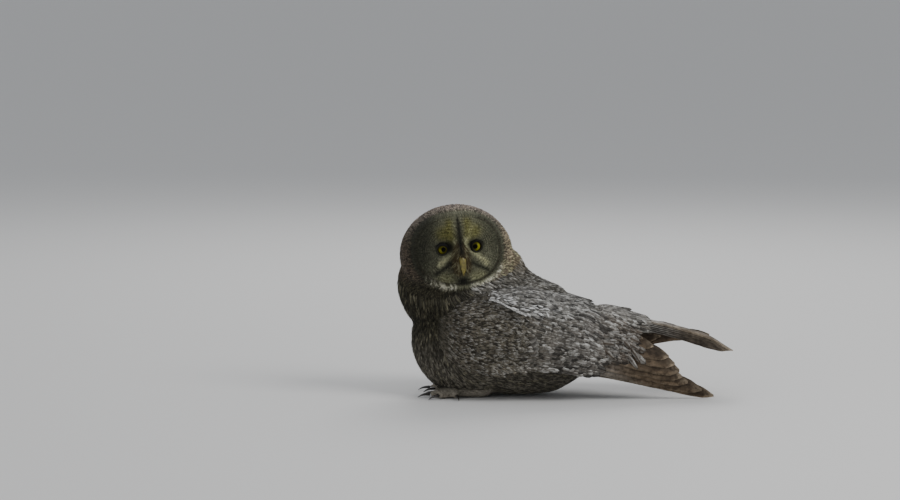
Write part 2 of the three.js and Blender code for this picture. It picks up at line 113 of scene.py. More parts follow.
def torsoPoint(angle, t, grow):
    half = (torsoSize["rumpX"] - torsoSize["breastX"]) / 2
    along, around = -np.cos(np.pi * t), np.sin(np.pi * t)
    centre, out, up, down = torsoShape(along)
    rise = np.cos(angle)
    reach = np.where(rise > 0, up, down) + grow
    x = torsoSize["breastX"] + half + (half + grow) * along
    return np.stack([x, around * (out + grow) * np.sin(angle), centre + around * reach * rise], -1)


def neckPoint(angle, t, grow):
    along, around = -np.cos(np.pi * t), np.sin(np.pi * t)
    out, throat, mantle = neckShape(along)
    reach = np.where(np.cos(angle) > 0, mantle, throat) + grow
    return np.stack([-125 + around * reach * np.cos(angle), around * (out + grow) * np.sin(angle),
                     175 + (90 + grow) * along], -1)


headSize = {"halfWidth": 93, "up": 82, "down": 79, "front": 60, "back": 70}
disc = {"halfWidth": 71, "halfHeight": 57, "middleX": -3, "middleZ": 13}
eye = {"x": 28.5, "y": -40, "z": 15.5, "radius": 11.4,
       "cross": {"Left": 13, "Right": 7}, "drop": {"Left": 1.6, "Right": 3.2}, "inward": {"Left": 3.2, "Right": 1.2}}
faceRelief = {"rim": [4.5, 0.1], "ridge": [7, 9, 15, 34], "socket": [9, 10], "dish": [8, 25]}  # depths and widths
headAt = np.array([-140.0, -6.0, 236.0])
headTurn = np.array(Matrix.Rotation(math.radians(9.5), 3, "Z") @ Matrix.Rotation(math.radians(-4.5), 3, "Y")
                    @ Matrix.Rotation(math.radians(2), 3, "X"))


def toHead(p):  # X to the viewer's right, Z up, the face towards -Y
    return (p - headAt) @ headTurn


def fromHead(q):
    return q @ headTurn.T + headAt


def eyeDistance(x, z):
    return np.hypot(np.abs(x) - eye["x"], z - eye["z"])


def ringAt(x, z):  # 1 on the rim of the disc
    x, z = (x - disc["middleX"]) / disc["halfWidth"], (z - disc["middleZ"]) / disc["halfHeight"]
    return (np.abs(x) ** 2.3 + np.abs(z) ** 2.3) ** (1 / 2.3)


def offAxis(x, z):  # 1 on the outline of the head
    return np.hypot(x / headSize["halfWidth"], z / np.where(z > 0, headSize["up"], headSize["down"]))


def faceDepth(x, z):
    outward, ring, toEye = offAxis(x, z), ringAt(x, z), eyeDistance(x, z)
    rise, width = faceRelief["rim"]
    rim = rise * np.exp(-(((ring - 1) / width) ** 2))
    rise, width, middle, tall = faceRelief["ridge"]
    ridge = rise * np.exp(-((x / width) ** 2) - ((z - middle) / tall) ** 2)
    depth, width = faceRelief["socket"]
    socket = depth * np.exp(-((toEye / width) ** 4))
    depth, width = faceRelief["dish"]
    dish = depth * np.exp(-((toEye / width) ** 2))
    shell = headSize["front"] * np.cbrt(np.maximum(0, 1 - outward ** 3))
    return shell + (rim + ridge - dish - socket) * (1 - ease(ring, 1.05, 1.35))


def headPoint(angle, t, lift):
    low = math.radians(62)
    polar = np.where(t < 0.5, low * 2 * t, low + (np.pi - low) * (2 * t - 1))
    across, rise = np.sin(polar) * np.cos(angle), np.sin(polar) * np.sin(angle)
    x = headSize["halfWidth"] * across
    z = np.where(rise > 0, headSize["up"], headSize["down"]) * rise
    y = np.where(np.cos(polar) > 0, -faceDepth(x, z), -headSize["back"] * np.cos(polar))
    return np.stack([x, y, z], -1) + lift * np.stack([across, -np.cos(polar), rise], -1)


def mould(bm, segments, rows, place):  # a sphere pulled to a shape by place(angle, t)
    made = bmesh.ops.create_uvsphere(bm, u_segments=segments, v_segments=rows, radius=1)["verts"]
    p = np.array([v.co for v in made])
    angle, t = np.arctan2(p[:, 1], p[:, 0]), np.arccos(np.clip(-p[:, 2], -1, 1)) / np.pi
    for v, c in zip(made, place(angle, t) * mm):
        v.co = c
    return made


def addPiece(name, mesh):
    piece = bpy.data.objects.new(name, mesh)
    bpy.context.scene.collection.objects.link(piece)
    return piece


def pieceFrom(bm, name):
    bmesh.ops.recalc_face_normals(bm, faces=bm.faces)
    mesh = bpy.data.meshes.new(name)
    bm.to_mesh(mesh)
    bm.free()
    mesh.shade_smooth()
    return addPiece(name, mesh)


def welded(node):
    bm = bmesh.new()
    bm.from_mesh(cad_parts[node].data)
    bmesh.ops.remove_doubles(bm, verts=bm.verts, dist=1e-5)
    bmesh.ops.recalc_face_normals(bm, faces=bm.faces)
    return bm


def settled(piece):  # the piece's mesh with its modifiers applied
    graph = bpy.context.evaluated_depsgraph_get()
    mesh = bpy.data.meshes.new_from_object(piece.evaluated_get(graph))
    piece.modifiers.clear()
    piece.data = mesh
    mesh.name = piece.name
    return mesh


# Markings: every colour on the plumage comes from here, for the skin and the coat

hues = {name: linear(text) for name, text in {
    "discGrey": "74745f", "discDark": "2b2b22", "browOlive": "77743f", "eyeBlack": "0c0b09",
    "cross": "b6b58e", "median": "1c1a14", "billBrown": "4a3b22", "moustache": "8d8d6b",
    "fringe": "9f9083", "bow": "e2dfc8", "rim": "2e2a20", "crown": "84796b", "crownRed": "4c4032", "nape": "a3957a",
    "throat": "403d2f", "streakPale": "8b866f", "mantle": "827f78", "mantlePale": "d3d2cd",
    "belly": "8f8a7e", "back": "95918a", "foot": "a29a8c", "shoulder": "706a5d",
    "scapular": "878580", "scapularPale": "d6d5d0", "edgeWhite": "f2f1ee", "quill": "5c4e3e", "quillTip": "9c8e79",
    "tail": "6c6255", "covert": "77736d",
}.items()}


def nearLine(x, z, points, width):  # 1 on a line through points, fading over its width
    best = np.full(x.shape, 1e9)
    for (ax, az), (bx, bz) in zip(points, points[1:]):
        dx, dz = bx - ax, bz - az
        s = np.clip(((x - ax) * dx + (z - az) * dz) / (dx * dx + dz * dz), 0, 1)
        best = np.minimum(best, np.hypot(x - ax - s * dx, z - az - s * dz))
    return np.exp(-((best / width) ** 2))


def spot(x, z, cx, cz, rx, rz):
    return np.exp(-(((x - cx) / rx) ** 2 + ((z - cz) / rz) ** 2) ** 1.5)


def layered(c, *layers):  # hues laid over c, each by its share
    for hue, share in layers:
        c = blendTo(c, hues[hue], share)
    return c


def ground(hue, like, change=0, cloud=1, p=None):  # one hue everywhere, lighter and darker in soft patches
    c = np.broadcast_to(hues[hue], like.shape + (3,))
    return c if p is None else c * (1 + change * cloudy(p, cloud))[..., None]


def bowAt(q):  # the pale bow under the disc
    x, z = q[..., 0], q[..., 2]
    ax, isLeft = np.abs(x), x < 0
    line = nearLine(ax, z, [(14, -48), (34, -45), (58, -34), (68, -21)], np.where(isLeft, 4.3, 3.4))
    ends = ease(ax, 8, 13) * (1 - ease(ax, np.where(isLeft, 52, 62), np.where(isLeft, 63, 74)))
    return np.where(isLeft, 0.97, 0.86) * line * ends * ease(cloudy(q, 5), -0.75, 0.1)


def faceTint(q):  # q is in the head's own frame
    x, z = q[..., 0], q[..., 2]
    ax, isLeft = np.abs(x), x < 0
    ring, toEye = ringAt(x, z), eyeDistance(x, z)
    crossLine = np.where(
        isLeft, nearLine(ax, z, [(8, 26), (7, 13), (12, 8), (20, 2.5), (30, -5), (35, -9)], 4.2),
        nearLine(ax, z, [(10, 28), (10, 18), (14, 13.6), (28.5, 1.8), (38, -7.6), (42, -12)], 4.4))
    corner = np.where(isLeft, spot(ax, z, 17.6, 18.5, 9.2, 11), spot(ax, z, 20.5, 19, 7, 9))
    medianWidth = 2.2 + 0.14 * np.maximum(66 - z, 0)
    median = np.exp(-((ax / medianWidth) ** 2)) * ease(z, -2, 10) * (1 - ease(z, 60, 76))
    c = layered(
        ground("discGrey", x, 0.12, 9, q),
        ("discDark", 0.45 * np.exp(-((toEye / 19) ** 2))),
        # the second term here is painted shade: the outer disc on the bird's right side (x < 0) is darker
        ("discDark", 0.5 * ease(ax + 0.25 * z, 38, 66) + 0.3 * ease(-x, 22, 56)),
        ("browOlive", 0.8 * spot(ax, z, 23, 41, 15, 13)),
        ("browOlive", 0.75 * nearLine(ax, z, [(15, 58), (17, 44), (13, 30), (10, 18)], 7)),
        ("cross", 0.25 * (x > 0) * nearLine(x, z, [(21, 48), (17, 36), (15, 26)], 5)),
        ("billBrown", 0.85 * spot(ax, z, 0, -8, 18, 22)),
        ("moustache", 0.95 * spot(ax, z, 26, -33, 15, 10)),
        ("discDark", 0.95 * nearLine(ax, z, [(17, -8), (27, -15), (43, -23.5)], 3.2)),
        ("cross", 0.95 * crossLine),
        # black marks at each eye's inner upper corner and an arc over each eye, deepened as painted shade under the
        # brow; the corner is wider on the bird's right eye (x < 0)
        ("eyeBlack", 0.97 * corner),
        ("eyeBlack", 0.9 * nearLine(ax, z, [(38, 21), (30, 25.5), (20, 22)], 2.6)),
        ("discDark", 0.85 * np.exp(-((toEye / 9.4) ** 6))),
        ("median", 0.95 * median))
    c = c * (1 - 0.3 * ease(-x, 2, 24))[..., None]  # painted shade: its right side (x < 0) is made the darker one
    rimShare = np.maximum(0.2 + 0.7 * ease(-z, -12, 22), 0.6 * ease(x, 5, 40))
    return layered(
        c,
        ("rim", rimShare * np.exp(-(((ring - 0.98) / 0.045) ** 2))),
        ("eyeBlack", 0.95 * spot(x, z, 1, -38, 13, 7)),
        ("bow", bowAt(q)))


def crownTint(q):
    x, y, z = q[..., 0], q[..., 1], q[..., 2]
    return layered(
        ground("crown", x, 0.2, 14, q),
        ("fringe", 0.8 * ease(z, 36, 72) * (1 - ease(y, -5, 45))),
        ("crownRed", 0.75 * ease(-x, 40, 85) * (1 - ease(z, 20, 60))),
        ("nape", 0.8 * ease(x + 0.35 * y, 38, 78) * (1 - ease(z, 30, 60))),
        ("cross", 0.6 * ease(x, 50, 66) * (1 - ease(z, 5, 34)) * ease(cloudy(q, 5), -0.1, 0.5)),
        ("throat", ease(-z, 18, 46) * (1 - ease(y, 0, 50)) * (1 - ease(x, 30, 60))),
        ("bow", bowAt(q) * (y < 0)))


def mantleFront(z):  # the mantle's grey starts here, behind the dark throat
    return -112 + 0.95 * (182 - np.clip(z, 150, 215))


def bodyTint(p):
    x, y, z = p[..., 0], p[..., 1], p[..., 2]
    dark = (1 - ease(x, -175, -60)) * ease(z, 40, 120) * (1 - 0.55 * ease(y, 0, 70))
    c = layered(ground("belly", x), ("throat", dark))
    c = c * (1 - 0.4 * ease(z, 140, 160) * ease(x, -170, -145))[..., None]
    upper = ease(z, 110, 165) * ease(x - mantleFront(z), -10, 12)
    c = layered(
        c,
        ("mantle", upper),
        ("back", ease(x, 30, 100) * ease(z, 90, 130)),
        ("nape", 0.7 * ease(z, 190, 240) * ease(x, -110, -80)),
        ("mantlePale", 0.5 * upper * ease(cloudy(p, 22), 0.25, 0.8)))
    return c * (1 + 0.15 * cloudy(p, 17))[..., None]


# Skin

limbs = ("leg_left", "leg_right", "foot_left", "foot_right")
skinSize = {"body": -4.5, "neck": -2.5, "head": -3.2, "limb": -1.4, "belly": 5.5, "sole": 2.2,
            "voxel": 3.0, "smooth": 8}


def makeSkin():
    bm = bmesh.new()
    torso = mould(bm, 64, 48, lambda a, t: torsoPoint(a, t, skinSize["body"]))
    for v in torso:
        v.co.z = max(v.co.z, skinSize["belly"] * mm)
    mould(bm, 64, 40, lambda a, t: neckPoint(a, t, skinSize["neck"]))
    mould(bm, 128, 96, lambda a, t: fromHead(headPoint(a, t, skinSize["head"])))
    for name in limbs:
        limb = welded(name)
        for v in limb.verts:
            v.co += v.normal * (skinSize["limb"] * mm)
            v.co.z = max(v.co.z, skinSize["sole"] * mm)
        copy = bpy.data.meshes.new("limb")
        limb.to_mesh(copy)
        limb.free()
        bm.from_mesh(copy)
        bpy.data.meshes.remove(copy)
    piece = pieceFrom(bm, "owlSkin")
    remesh = piece.modifiers.new("Remesh", "REMESH")
    remesh.mode = "VOXEL"
    remesh.voxel_size = skinSize["voxel"] * mm
    softer = piece.modifiers.new("Smooth", "SMOOTH")
    softer.iterations = skinSize["smooth"]
    mesh = settled(piece)
    mesh.shade_smooth()
    bpy.context.view_layer.objects.active = piece
    piece.select_set(True)
    mesh.uv_layers.new(name="OFBake")
    bpy.ops.object.mode_set(mode="EDIT")
    bpy.ops.mesh.select_all(action="SELECT")
    bpy.ops.uv.smart_project(angle_limit=math.radians(66), island_margin=0.002)
    bpy.ops.object.mode_set(mode="OBJECT")
    piece.select_set(False)
    return piece


def read(items, name, width, kind=np.float32):
    out = np.zeros(len(items) * width, kind)
    items.foreach_get(name, out)
    return out.reshape(-1, width) if width > 1 else out


skin = makeSkin()
skinMesh = skin.data
skinMesh.calc_loop_triangles()
skinPoints = read(skinMesh.vertices, "co", 3) / mm
skinNormals = read(skinMesh.vertices, "normal", 3)
skinCorners = read(skinMesh.loop_triangles, "vertices", 3, np.int32)
skinLoops = read(skinMesh.loop_triangles, "loops", 3, np.int32)
skinSpots = read(skinMesh.uv_layers["OFBake"].data, "uv", 2)
skinTree = BVHTree.FromPolygons((skinPoints * mm).tolist(), skinCorners.tolist(), all_triangles=True)
faceNormals = unit(skinNormals[skinCorners].sum(1))
print("skin:", len(skinCorners), "triangles")


def nearest(points):
    spots = np.empty_like(points)
    ways = np.empty_like(points)
    for i, p in enumerate(points * mm):
        found = skinTree.find_nearest(p)
        spots[i] = found[0]
        ways[i] = faceNormals[found[2]]
    return spots / mm, ways


def headness(p):  # below 1 inside the head
    x, y, z = toHead(p).T
    outward = offAxis(x, z)
    ahead = np.cbrt(outward ** 3 + np.abs(y / headSize["front"]) ** 3)
    return np.where(y < 0, ahead, np.hypot(outward, y / headSize["back"]))


def nearFoot(p):
    low = np.zeros(len(p), bool)
    for lo, hi in map(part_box, limbs):
        lo, hi = np.array(lo) / mm, np.array(hi) / mm
        low |= ((p > lo - 1) & (p < hi + 1)).all(1) & (p[:, 2] < 24)
    return low


def regionOf(p):  # a row of coatSize
    q = toHead(p)
    onHead = headness(p) < 1.065
    face = onHead & (ringAt(q[:, 0], q[:, 2]) < 1.02) & (q[:, 1] < -14)
    region = np.where(face, 0, np.where(onHead, 1, 2))
    back = (p[:, 2] > 150 - 0.22 * np.clip(p[:, 0], -100, 140)) & (p[:, 0] > mantleFront(p[:, 2]))
    region[(region == 2) & back] = 3
    region[(region == 2) & nearFoot(p)] = 4
    return region


def flow(p, n):  # which way the feathers lie
    q = toHead(p)
    x, y, z = q[:, 0], q[:, 1], q[:, 2]
    side = np.where(x >= 0, 1.0, -1.0)
    away = np.stack([x - side * eye["x"], 0 * x, z - eye["z"]], 1)
    middle = np.exp(-((x / 9) ** 2))
    away[:, 0] += side * 6 * middle
    inFace = (1 - ease(ringAt(x, z), 0.85, 1.1)) * (y < -10)
    outward = np.stack([x, 18 + 0 * x, z - 5], 1)
    local = unit(away) * inFace[:, None] + unit(outward) * (1 - inFace)[:, None]
    head = local @ headTurn.T
    head[:, 2] -= 1.5 * ease(y, -5, 45)
    front = 1 - ease(p[:, 0], -175, -95)
    body = np.stack([1 - 0.8 * front, 0 * x, -0.22 - 0.8 * front], 1)
    high = ease(p[:, 2], 165, 215)
    body[:, 2] -= 0.6 * high
    on = 1 - ease(headness(p), 1.03, 1.13)
    way = body + (head * 1.4 - body) * on[:, None]
    footy = nearFoot(p)
    way[footy] = [-1, 0, -0.1]
    way -= n * (way * n).sum(1, keepdims=True)
    return unit(way)


# Tufts: small closed feathers with a raised middle and a pointed end

tuftStops = np.array([0, 0.38, 0.76, 1.0])


def sheetTriangles(rows):
    tris, smooth, lower = [], [], []
    for k in range(rows - 2):
        a, b = 3 * k, 3 * (k + 1)
        for c in (0, 1):
            tris += [(a + c, a + c + 1, b + c + 1), (a + c, b + c + 1, b + c)]
            smooth += [1, 1]
            lower += [0, 0]
        tris += [(a + 2, a, b), (a + 2, b, b + 2)]
        smooth += [0, 0]
        lower += [1, 1]
    a, tip = 3 * (rows - 2), 3 * (rows - 1)
    tris += [(a, a + 1, tip), (a + 1, a + 2, tip), (a + 2, a, tip), (2, 1, 0)]
    smooth += [1, 1, 0, 0]
    lower += [0, 0, 1, 1]
    return np.array(tris), np.array(smooth, bool), np.array(lower, bool)


def meshOf(name, points, triangles, smooth):
    mesh = bpy.data.meshes.new(name)
    mesh.vertices.add(len(points))
    mesh.vertices.foreach_set("co", (points * mm).astype(np.float32).ravel())
    mesh.loops.add(triangles.size)
    mesh.loops.foreach_set("vertex_index", triangles.astype(np.int32).ravel())
    mesh.polygons.add(len(triangles))
    mesh.polygons.foreach_set("loop_start", np.arange(0, triangles.size, 3, dtype=np.int32))
    mesh.polygons.foreach_set("use_smooth", smooth)
    mesh.update(calc_edges=True)
    return mesh


def giveValues(mesh, name, kind, values):
    key = {"FLOAT_COLOR": "color", "FLOAT_VECTOR": "vector", "FLOAT": "value"}[kind]
    data = mesh.attributes.new(name, kind, "POINT").data
    data.foreach_set(key, np.asarray(values).astype(np.float32).ravel())


def giveMarks(mesh, tint, vane, pattern, ring):
    giveValues(mesh, "tint", "FLOAT_COLOR", np.concatenate([np.clip(tint, 0, 1), np.ones((len(tint), 1))], 1))
    giveValues(mesh, "vane", "FLOAT_VECTOR", vane)
    giveValues(mesh, "pattern", "FLOAT_VECTOR", pattern)
    giveValues(mesh, "ring", "FLOAT", ring)


def plainMarks(mesh, tint, grain):  # only a tint and specks
    n = len(mesh.vertices)
    giveMarks(mesh, np.broadcast_to(tint, (n, 3)), np.zeros((n, 3)),
              np.broadcast_to([0, 0, grain], (n, 3)), np.zeros(n))


def unwrap(mesh, spots):
    mesh.uv_layers.new(name="OFBake").data.foreach_set("uv", spots.astype(np.float32).ravel())


floorGap = {"least": 0.4, "from": 1.5}


def aboveFloor(z):  # tufts that reach the floor lie flat on it
    low, high = floorGap["least"], floorGap["from"]
    return np.where(z < high, low + 1.1 * np.exp((np.minimum(z, high) - high) / 1.1), z)


def makeTufts(name, spine, normal, halfWidth, rise, marks, spots, stops=tuftStops, widths=(0.5, 1, 0.8)):
    n, rows = spine.shape[:2]
    way = unit(np.gradient(spine, axis=1))
    aside = unit(np.cross(normal, way))
    lift = rise[:, None] * stops[None, :]
    centre = spine + normal * lift[..., None]
    seed = chance.uniform(0, 1, n)
    points = np.empty((n, 3 * (rows - 1) + 1, 3))
    s = np.empty((n, 3 * (rows - 1) + 1))
    across = np.zeros_like(s)
    for k in range(rows - 1):
        w = halfWidth * widths[k]
        for c, sign in enumerate((-1, 0, 1)):
            camber = 0.16 * w if sign == 0 else 0 * w
            points[:, 3 * k + c] = centre[:, k] + aside[:, k] * (sign * w)[:, None] + normal[:, k] * camber[:, None]
            s[:, 3 * k + c] = stops[k]
            across[:, 3 * k + c] = sign
    points[:, -1] = centre[:, -1]
    points[..., 2] = aboveFloor(points[..., 2])
    s[:, -1] = 1
    tris, smooth, lower = sheetTriangles(rows)
    step = points.shape[1]
    allTris = (tris[None] + (np.arange(n) * step)[:, None, None]).reshape(-1, 3)
    mesh = meshOf(name, points.reshape(-1, 3), allTris, np.tile(smooth, n))
    tint, pattern, ring = marks(points, s, across, seed)
    vane = np.stack([across, s, np.broadcast_to(seed[:, None], s.shape)], -1)
    giveMarks(mesh, tint.reshape(-1, 3), vane.reshape(-1, 3), pattern.reshape(-1, 3), ring.reshape(-1))
    place = np.stack([(across[0] + 1) * 0.35, s[0]], -1)[tris]
    place[lower, :, 0] = 0.75 + 0.25 * place[lower, :, 0] / 0.7
    patch = spots[:, None, None, :] + tuftPatch * (place[None] - 0.5)
    unwrap(mesh, np.clip(patch, 0, 1))
    piece = addPiece(name, mesh)
    print(name + ":", n, "feathers,", len(allTris), "triangles")
    return piece


def scatter():  # even random roots on the skin, at a spacing for each region
    corners = skinPoints[skinCorners]
    middle = corners.mean(1)
    areas = np.linalg.norm(np.cross(corners[:, 1] - corners[:, 0], corners[:, 2] - corners[:, 0]), axis=1) / 2
    gaps = coatTable[regionOf(middle), 2]
    height = middle[:, 2]
    bare = underWing(middle) | ((faceNormals[:, 2] <= -0.97) & (height <= 30)) | (height <= 1)  # wings and floor
    weight = areas / gaps ** 2 * ~bare
    count = int(weight.sum() * 3.2)
    pick = chance.choice(len(weight), count, p=weight / weight.sum())
    u, v = chance.uniform(size=(2, count))
    flip = u + v > 1
    u[flip], v[flip] = 1 - u[flip], 1 - v[flip]
    bary = np.stack([1 - u - v, u, v], 1)
    points = (corners[pick] * bary[..., None]).sum(1)
    spots = (skinSpots[skinLoops[pick]] * bary[..., None]).sum(1)
    normals = unit((skinNormals[skinCorners[pick]] * bary[..., None]).sum(1))
    cell = np.floor(points / (gaps[pick] * 1.08)[:, None]).astype(np.int64)
    key = cell[:, 0] * 73856093 ^ cell[:, 1] * 19349663 ^ cell[:, 2] * 83492791
    _, first = np.unique(key, return_index=True)
    return points[first], normals[first], spots[first]


coatSize = {  # region: length, half width, spacing, rise at the end, slot, material
    "face": [6.9, 0.68, 1.23, 1.25, "face_plumage", "facePlumage"],
    "crown": [12.5, 1.08, 1.93, 2.0, "face_plumage", "crownPlumage"],
    "breast": [24, 1.6, 2.65, 3.4, "breast_plumage", "bodyPlumage"],
    "mantle": [16.5, 1.65, 2.25, 3.1, "mantle_plumage", "bodyPlumage"],
    "foot": [7, 1.4, 2.0, 1.1, "foot_plumage", "footPlumage"],
}
coatTable = np.array([row[:4] for row in coatSize.values()])


wingAxisZ = 88
tuftPatch, tuftTriangles, pieceLimit = 0.003, 16, 190000


def turnOf(p):  # degrees from straight up, around the wings' axis
    return np.degrees(np.arctan2(np.abs(p[..., 1]), p[..., 2] - wingAxisZ))


def underWing(p):  # the wings hide this much of the torso
    turn = turnOf(p)
    return (p[:, 0] > -140) & (p[:, 0] < 80) & (turn > 42) & (turn < 92)


def makeCoat():
    points, normals, spots = scatter()
    region = regionOf(points)
    q = toHead(points)
    toEye = eyeDistance(q[:, 0], q[:, 2])
    fine = (region != 0) | (toEye > 9.5)
    points, normals, spots, region, q, toEye = (a[fine] for a in (points, normals, spots, region, q, toEye))
    length, halfWidth, _, rise = coatTable[region].T.copy()
    size = chance.uniform(0.8, 1.2, len(points))
    behind = ease(q[:, 1], -40, 40)
    length = np.where(region == 1, length * (0.75 + 0.6 * behind), length) * size
    halfWidth = halfWidth * chance.uniform(0.85, 1.2, len(points))
    closer = (region == 0) * (1 - ease(toEye, 12, 24))
    length *= 1 - 0.45 * closer
    rise = rise * chance.uniform(0.6, 1.35, len(points)) * (1 - 0.5 * closer)
    rise += 1.5 * (region == 1) * ease(q[:, 0], 45, 80) * ease(q[:, 2], 50, 10)  # a fuller nape
    low = ease(points[:, 2], 4, 26)
    rise *= np.where(region == 4, 1, 0.35 + 0.65 * low)
    ways = flow(points, normals)
    turn = chance.normal(0, 0.13, len(points))
    ways = unit(ways + np.cross(normals, ways) * turn[:, None])
    spine, along = [points], [normals]
    here, n, way = points, normals, ways
    for a, b in zip(tuftStops, tuftStops[1:]):
        there, n = nearest(here + way * (length * (b - a))[:, None])
        step = flow(there, n)
        way = unit(step + np.cross(n, step) * turn[:, None])
        spine.append(there)
        along.append(n)
        here = there
    spine, along = np.stack(spine, 1), np.stack(along, 1)
    spine += along * 0.25
    made = []
    for k, name in enumerate(coatSize):
        mine = np.flatnonzero(region == k)
        if not len(mine):
            continue
        pieces = math.ceil(len(mine) * tuftTriangles / pieceLimit)
        for h, part in enumerate(np.array_split(mine, pieces)):
            title = name + "Coat" + (str(h + 1) if pieces > 1 else "")
            shapes = [a[part] for a in (spine, along, halfWidth, rise)]
            piece = makeTufts(title, *shapes, coatMarks(name), spots[part])
            made.append((piece, coatSize[name][4], name))
    return made


def varied(tint, seed, darkShare, paleShare, pale):  # some feathers are darker and some paler
    tint = tint * (1 - 0.62 * (seed < darkShare))[:, None, None]
    return blendTo(tint, pale, 0.55 * (seed > 1 - paleShare)[:, None] + 0 * tint[..., 0])


def faceMarks(points, s, across, seed):
    q = toHead(points)
    x, z = q[..., 0], q[..., 2]
    ring, toEye = ringAt(x, z), eyeDistance(x, z)
    ringed = ease(toEye, 13, 22) * (1 - ease(ring, 0.93, 1.0)) > 0.0625
    radius = toEye + (ring * 62 - toEye) * ease(ring, 0.45, 0.95) + 2.6 * (seed[:, None] - 0.5)
    return faceTint(q) * (1 + 0.8 * (seed - 0.5))[:, None, None], same(s, 0, 0, 0.3), radius * ringed


def crownMarks(points, s, across, seed):
    q = toHead(points)
    ring = ringAt(q[..., 0], q[..., 2])
    tint = crownTint(q)
    near = (ring < 1.3) & (q[..., 1] < 0)
    tint = np.where(near[..., None], blendTo(tint, faceTint(q), 1 - ease(ring, 1.02, 1.2)), tint)
    tint = tint * (1 - 0.45 * (seed < 0.3) + 0.55 * (seed > 0.72))[:, None, None]
    return tint, same(s, 0.75, 0.1, 0.45), 0 * s


variety = {"breast": [0.42, 0.13, hues["streakPale"]], "mantle": [0.28, 0.22, hues["mantlePale"]]}


def coatMarks(name):
    def marks(points, s, across, seed):
        if name == "face":
            return faceMarks(points, s, across, seed)
        shade = (1 + 0.22 * (seed - 0.5))[:, None, None]
        if name == "crown":
            tint, pattern, ring = crownMarks(points, s, across, seed)
        elif name == "foot":
            tint, pattern = blendTo(bodyTint(points), hues["foot"], 0.85 + 0 * s), same(s, 0.2, 0.75, 0.6) * 0.3
        else:
            tint = varied(bodyTint(points), seed, *variety[name])
            tint, pattern = blendTo(tint, hues["streakPale"], 0.2 * np.abs(across)), same(s, 0.2, 0.75, 0.6)
        return tint * shade, pattern, 0 * s

    return marks


coats = makeCoat()


def spotsAt(points):  # the skin's unwrap under some points
    found = [skinTree.find_nearest(p)[2] for p in points * mm]
    return skinSpots[skinLoops[found]].mean(1)


bristles = {"count": 620, "overBill": 110}


def makeBristles():
    n = bristles["count"]
    side = np.where(np.arange(n) % 2, 1.0, -1.0)
    f = chance.uniform(0, 1, n) ** 0.9
    x = 2.2 + 4.5 * f + chance.uniform(-1.2, 2.6, n)
    z = 25 - 38 * f + chance.normal(0, 2.2, n)
    lie = np.radians(-48 - 34 * f - 20 * (1 - ease(x, 2, 6)) + chance.normal(0, 7, n))
    length = (14 + 5 * np.sin(np.pi * f)) * chance.uniform(0.75, 1.15, n)
    over = np.arange(n) < bristles["overBill"]  # these lie over the base of the bill
    x = np.where(over, chance.uniform(-0.5, 3.6, n), x)
    z = np.where(over, chance.uniform(9, 23, n), z)
    lie = np.where(over, np.radians(-86) + chance.normal(0, 0.14, n), lie)
    length = np.where(over, chance.uniform(9, 13, n), length)
    spine, normal = [], []
    for s in tuftStops:
        xs = x + length * s * np.cos(lie) * (0.6 + 0.5 * s)
        zs = z + length * s * np.sin(lie)
        bill = np.where(xs < 9, 60.5 + 12 * ease(18 - zs, 0, 14), 0) - 1.1 * np.maximum(xs - 2.5, 0)
        depth = np.maximum(faceDepth(xs, zs), bill)
        spot = np.stack([side * xs, -depth - 0.2 - 2.6 * s, zs], -1)
        spine.append(fromHead(spot))
        normal.append(unit(np.stack([side * 0.35, -1 + 0 * xs, 0.1 + 0 * xs], -1)) @ headTurn.T)

    def marks(points, s, across, seed):
        q = toHead(points)
        tint = layered(
            faceTint(q),
            ("billBrown", 0.7 + 0 * s),
            ("cross", 0.4 * (seed > 0.78)[:, None] * ease(s, 0.1, 0.6)),
            ("median", 0.92 * np.exp(-((q[..., 0] / 5.5) ** 2)) * ease(q[..., 2], 2, 10)))
        return tint * (0.85 + 0.4 * seed)[:, None, None], same(s, 0, 0.3, 0.2), 0 * s

    return makeTufts("billBristles", np.stack(spine, 1), np.stack(normal, 1), chance.uniform(0.45, 0.8, n),
                     0.6 + 0 * x, marks, spotsAt(spine[0]))


coats.append((makeBristles(), "face_plumage", "face"))

# Wings


def wingHull(rows):
    return curveThrough([[-170, 92, 70, 74], [-120, 88, 86, 88], [-70, 91, 91, 94]] + rows)


wings = {
    "Left": {"side": 1, "hull": wingHull([[-20, 88, 91, 94], [30, 82, 87, 87], [90, 72, 80, 78],
                                          [150, 58, 70, 68], [210, 41, 61, 58], [290, 17, 52, 48]])},
    "Right": {"side": -1, "hull": wingHull([[-20, 89, 91, 92], [30, 88, 87, 81], [90, 87, 79, 70],
                                            [150, 92, 69, 53], [210, 100, 59, 35], [290, 100, 48, 26]])},
}
wingLayer = 1.7
quillWidths = curveThrough([[0, 0.5], [0.3, 0.85], [0.65, 1], [0.86, 0.88], [0.95, 0.62], [1, 0.12]])
covertWidths = curveThrough([[0, 0.6], [0.4, 1], [0.75, 0.95], [0.92, 0.62], [1, 0.12]])


def shoulderRise(turn):
    return ease(turn, 40, 62) * (1 - ease(turn, 84, 106))


def scapularRise(turn):
    return 6 + 11 * np.clip((turn - 20) / 40, 0, 1)


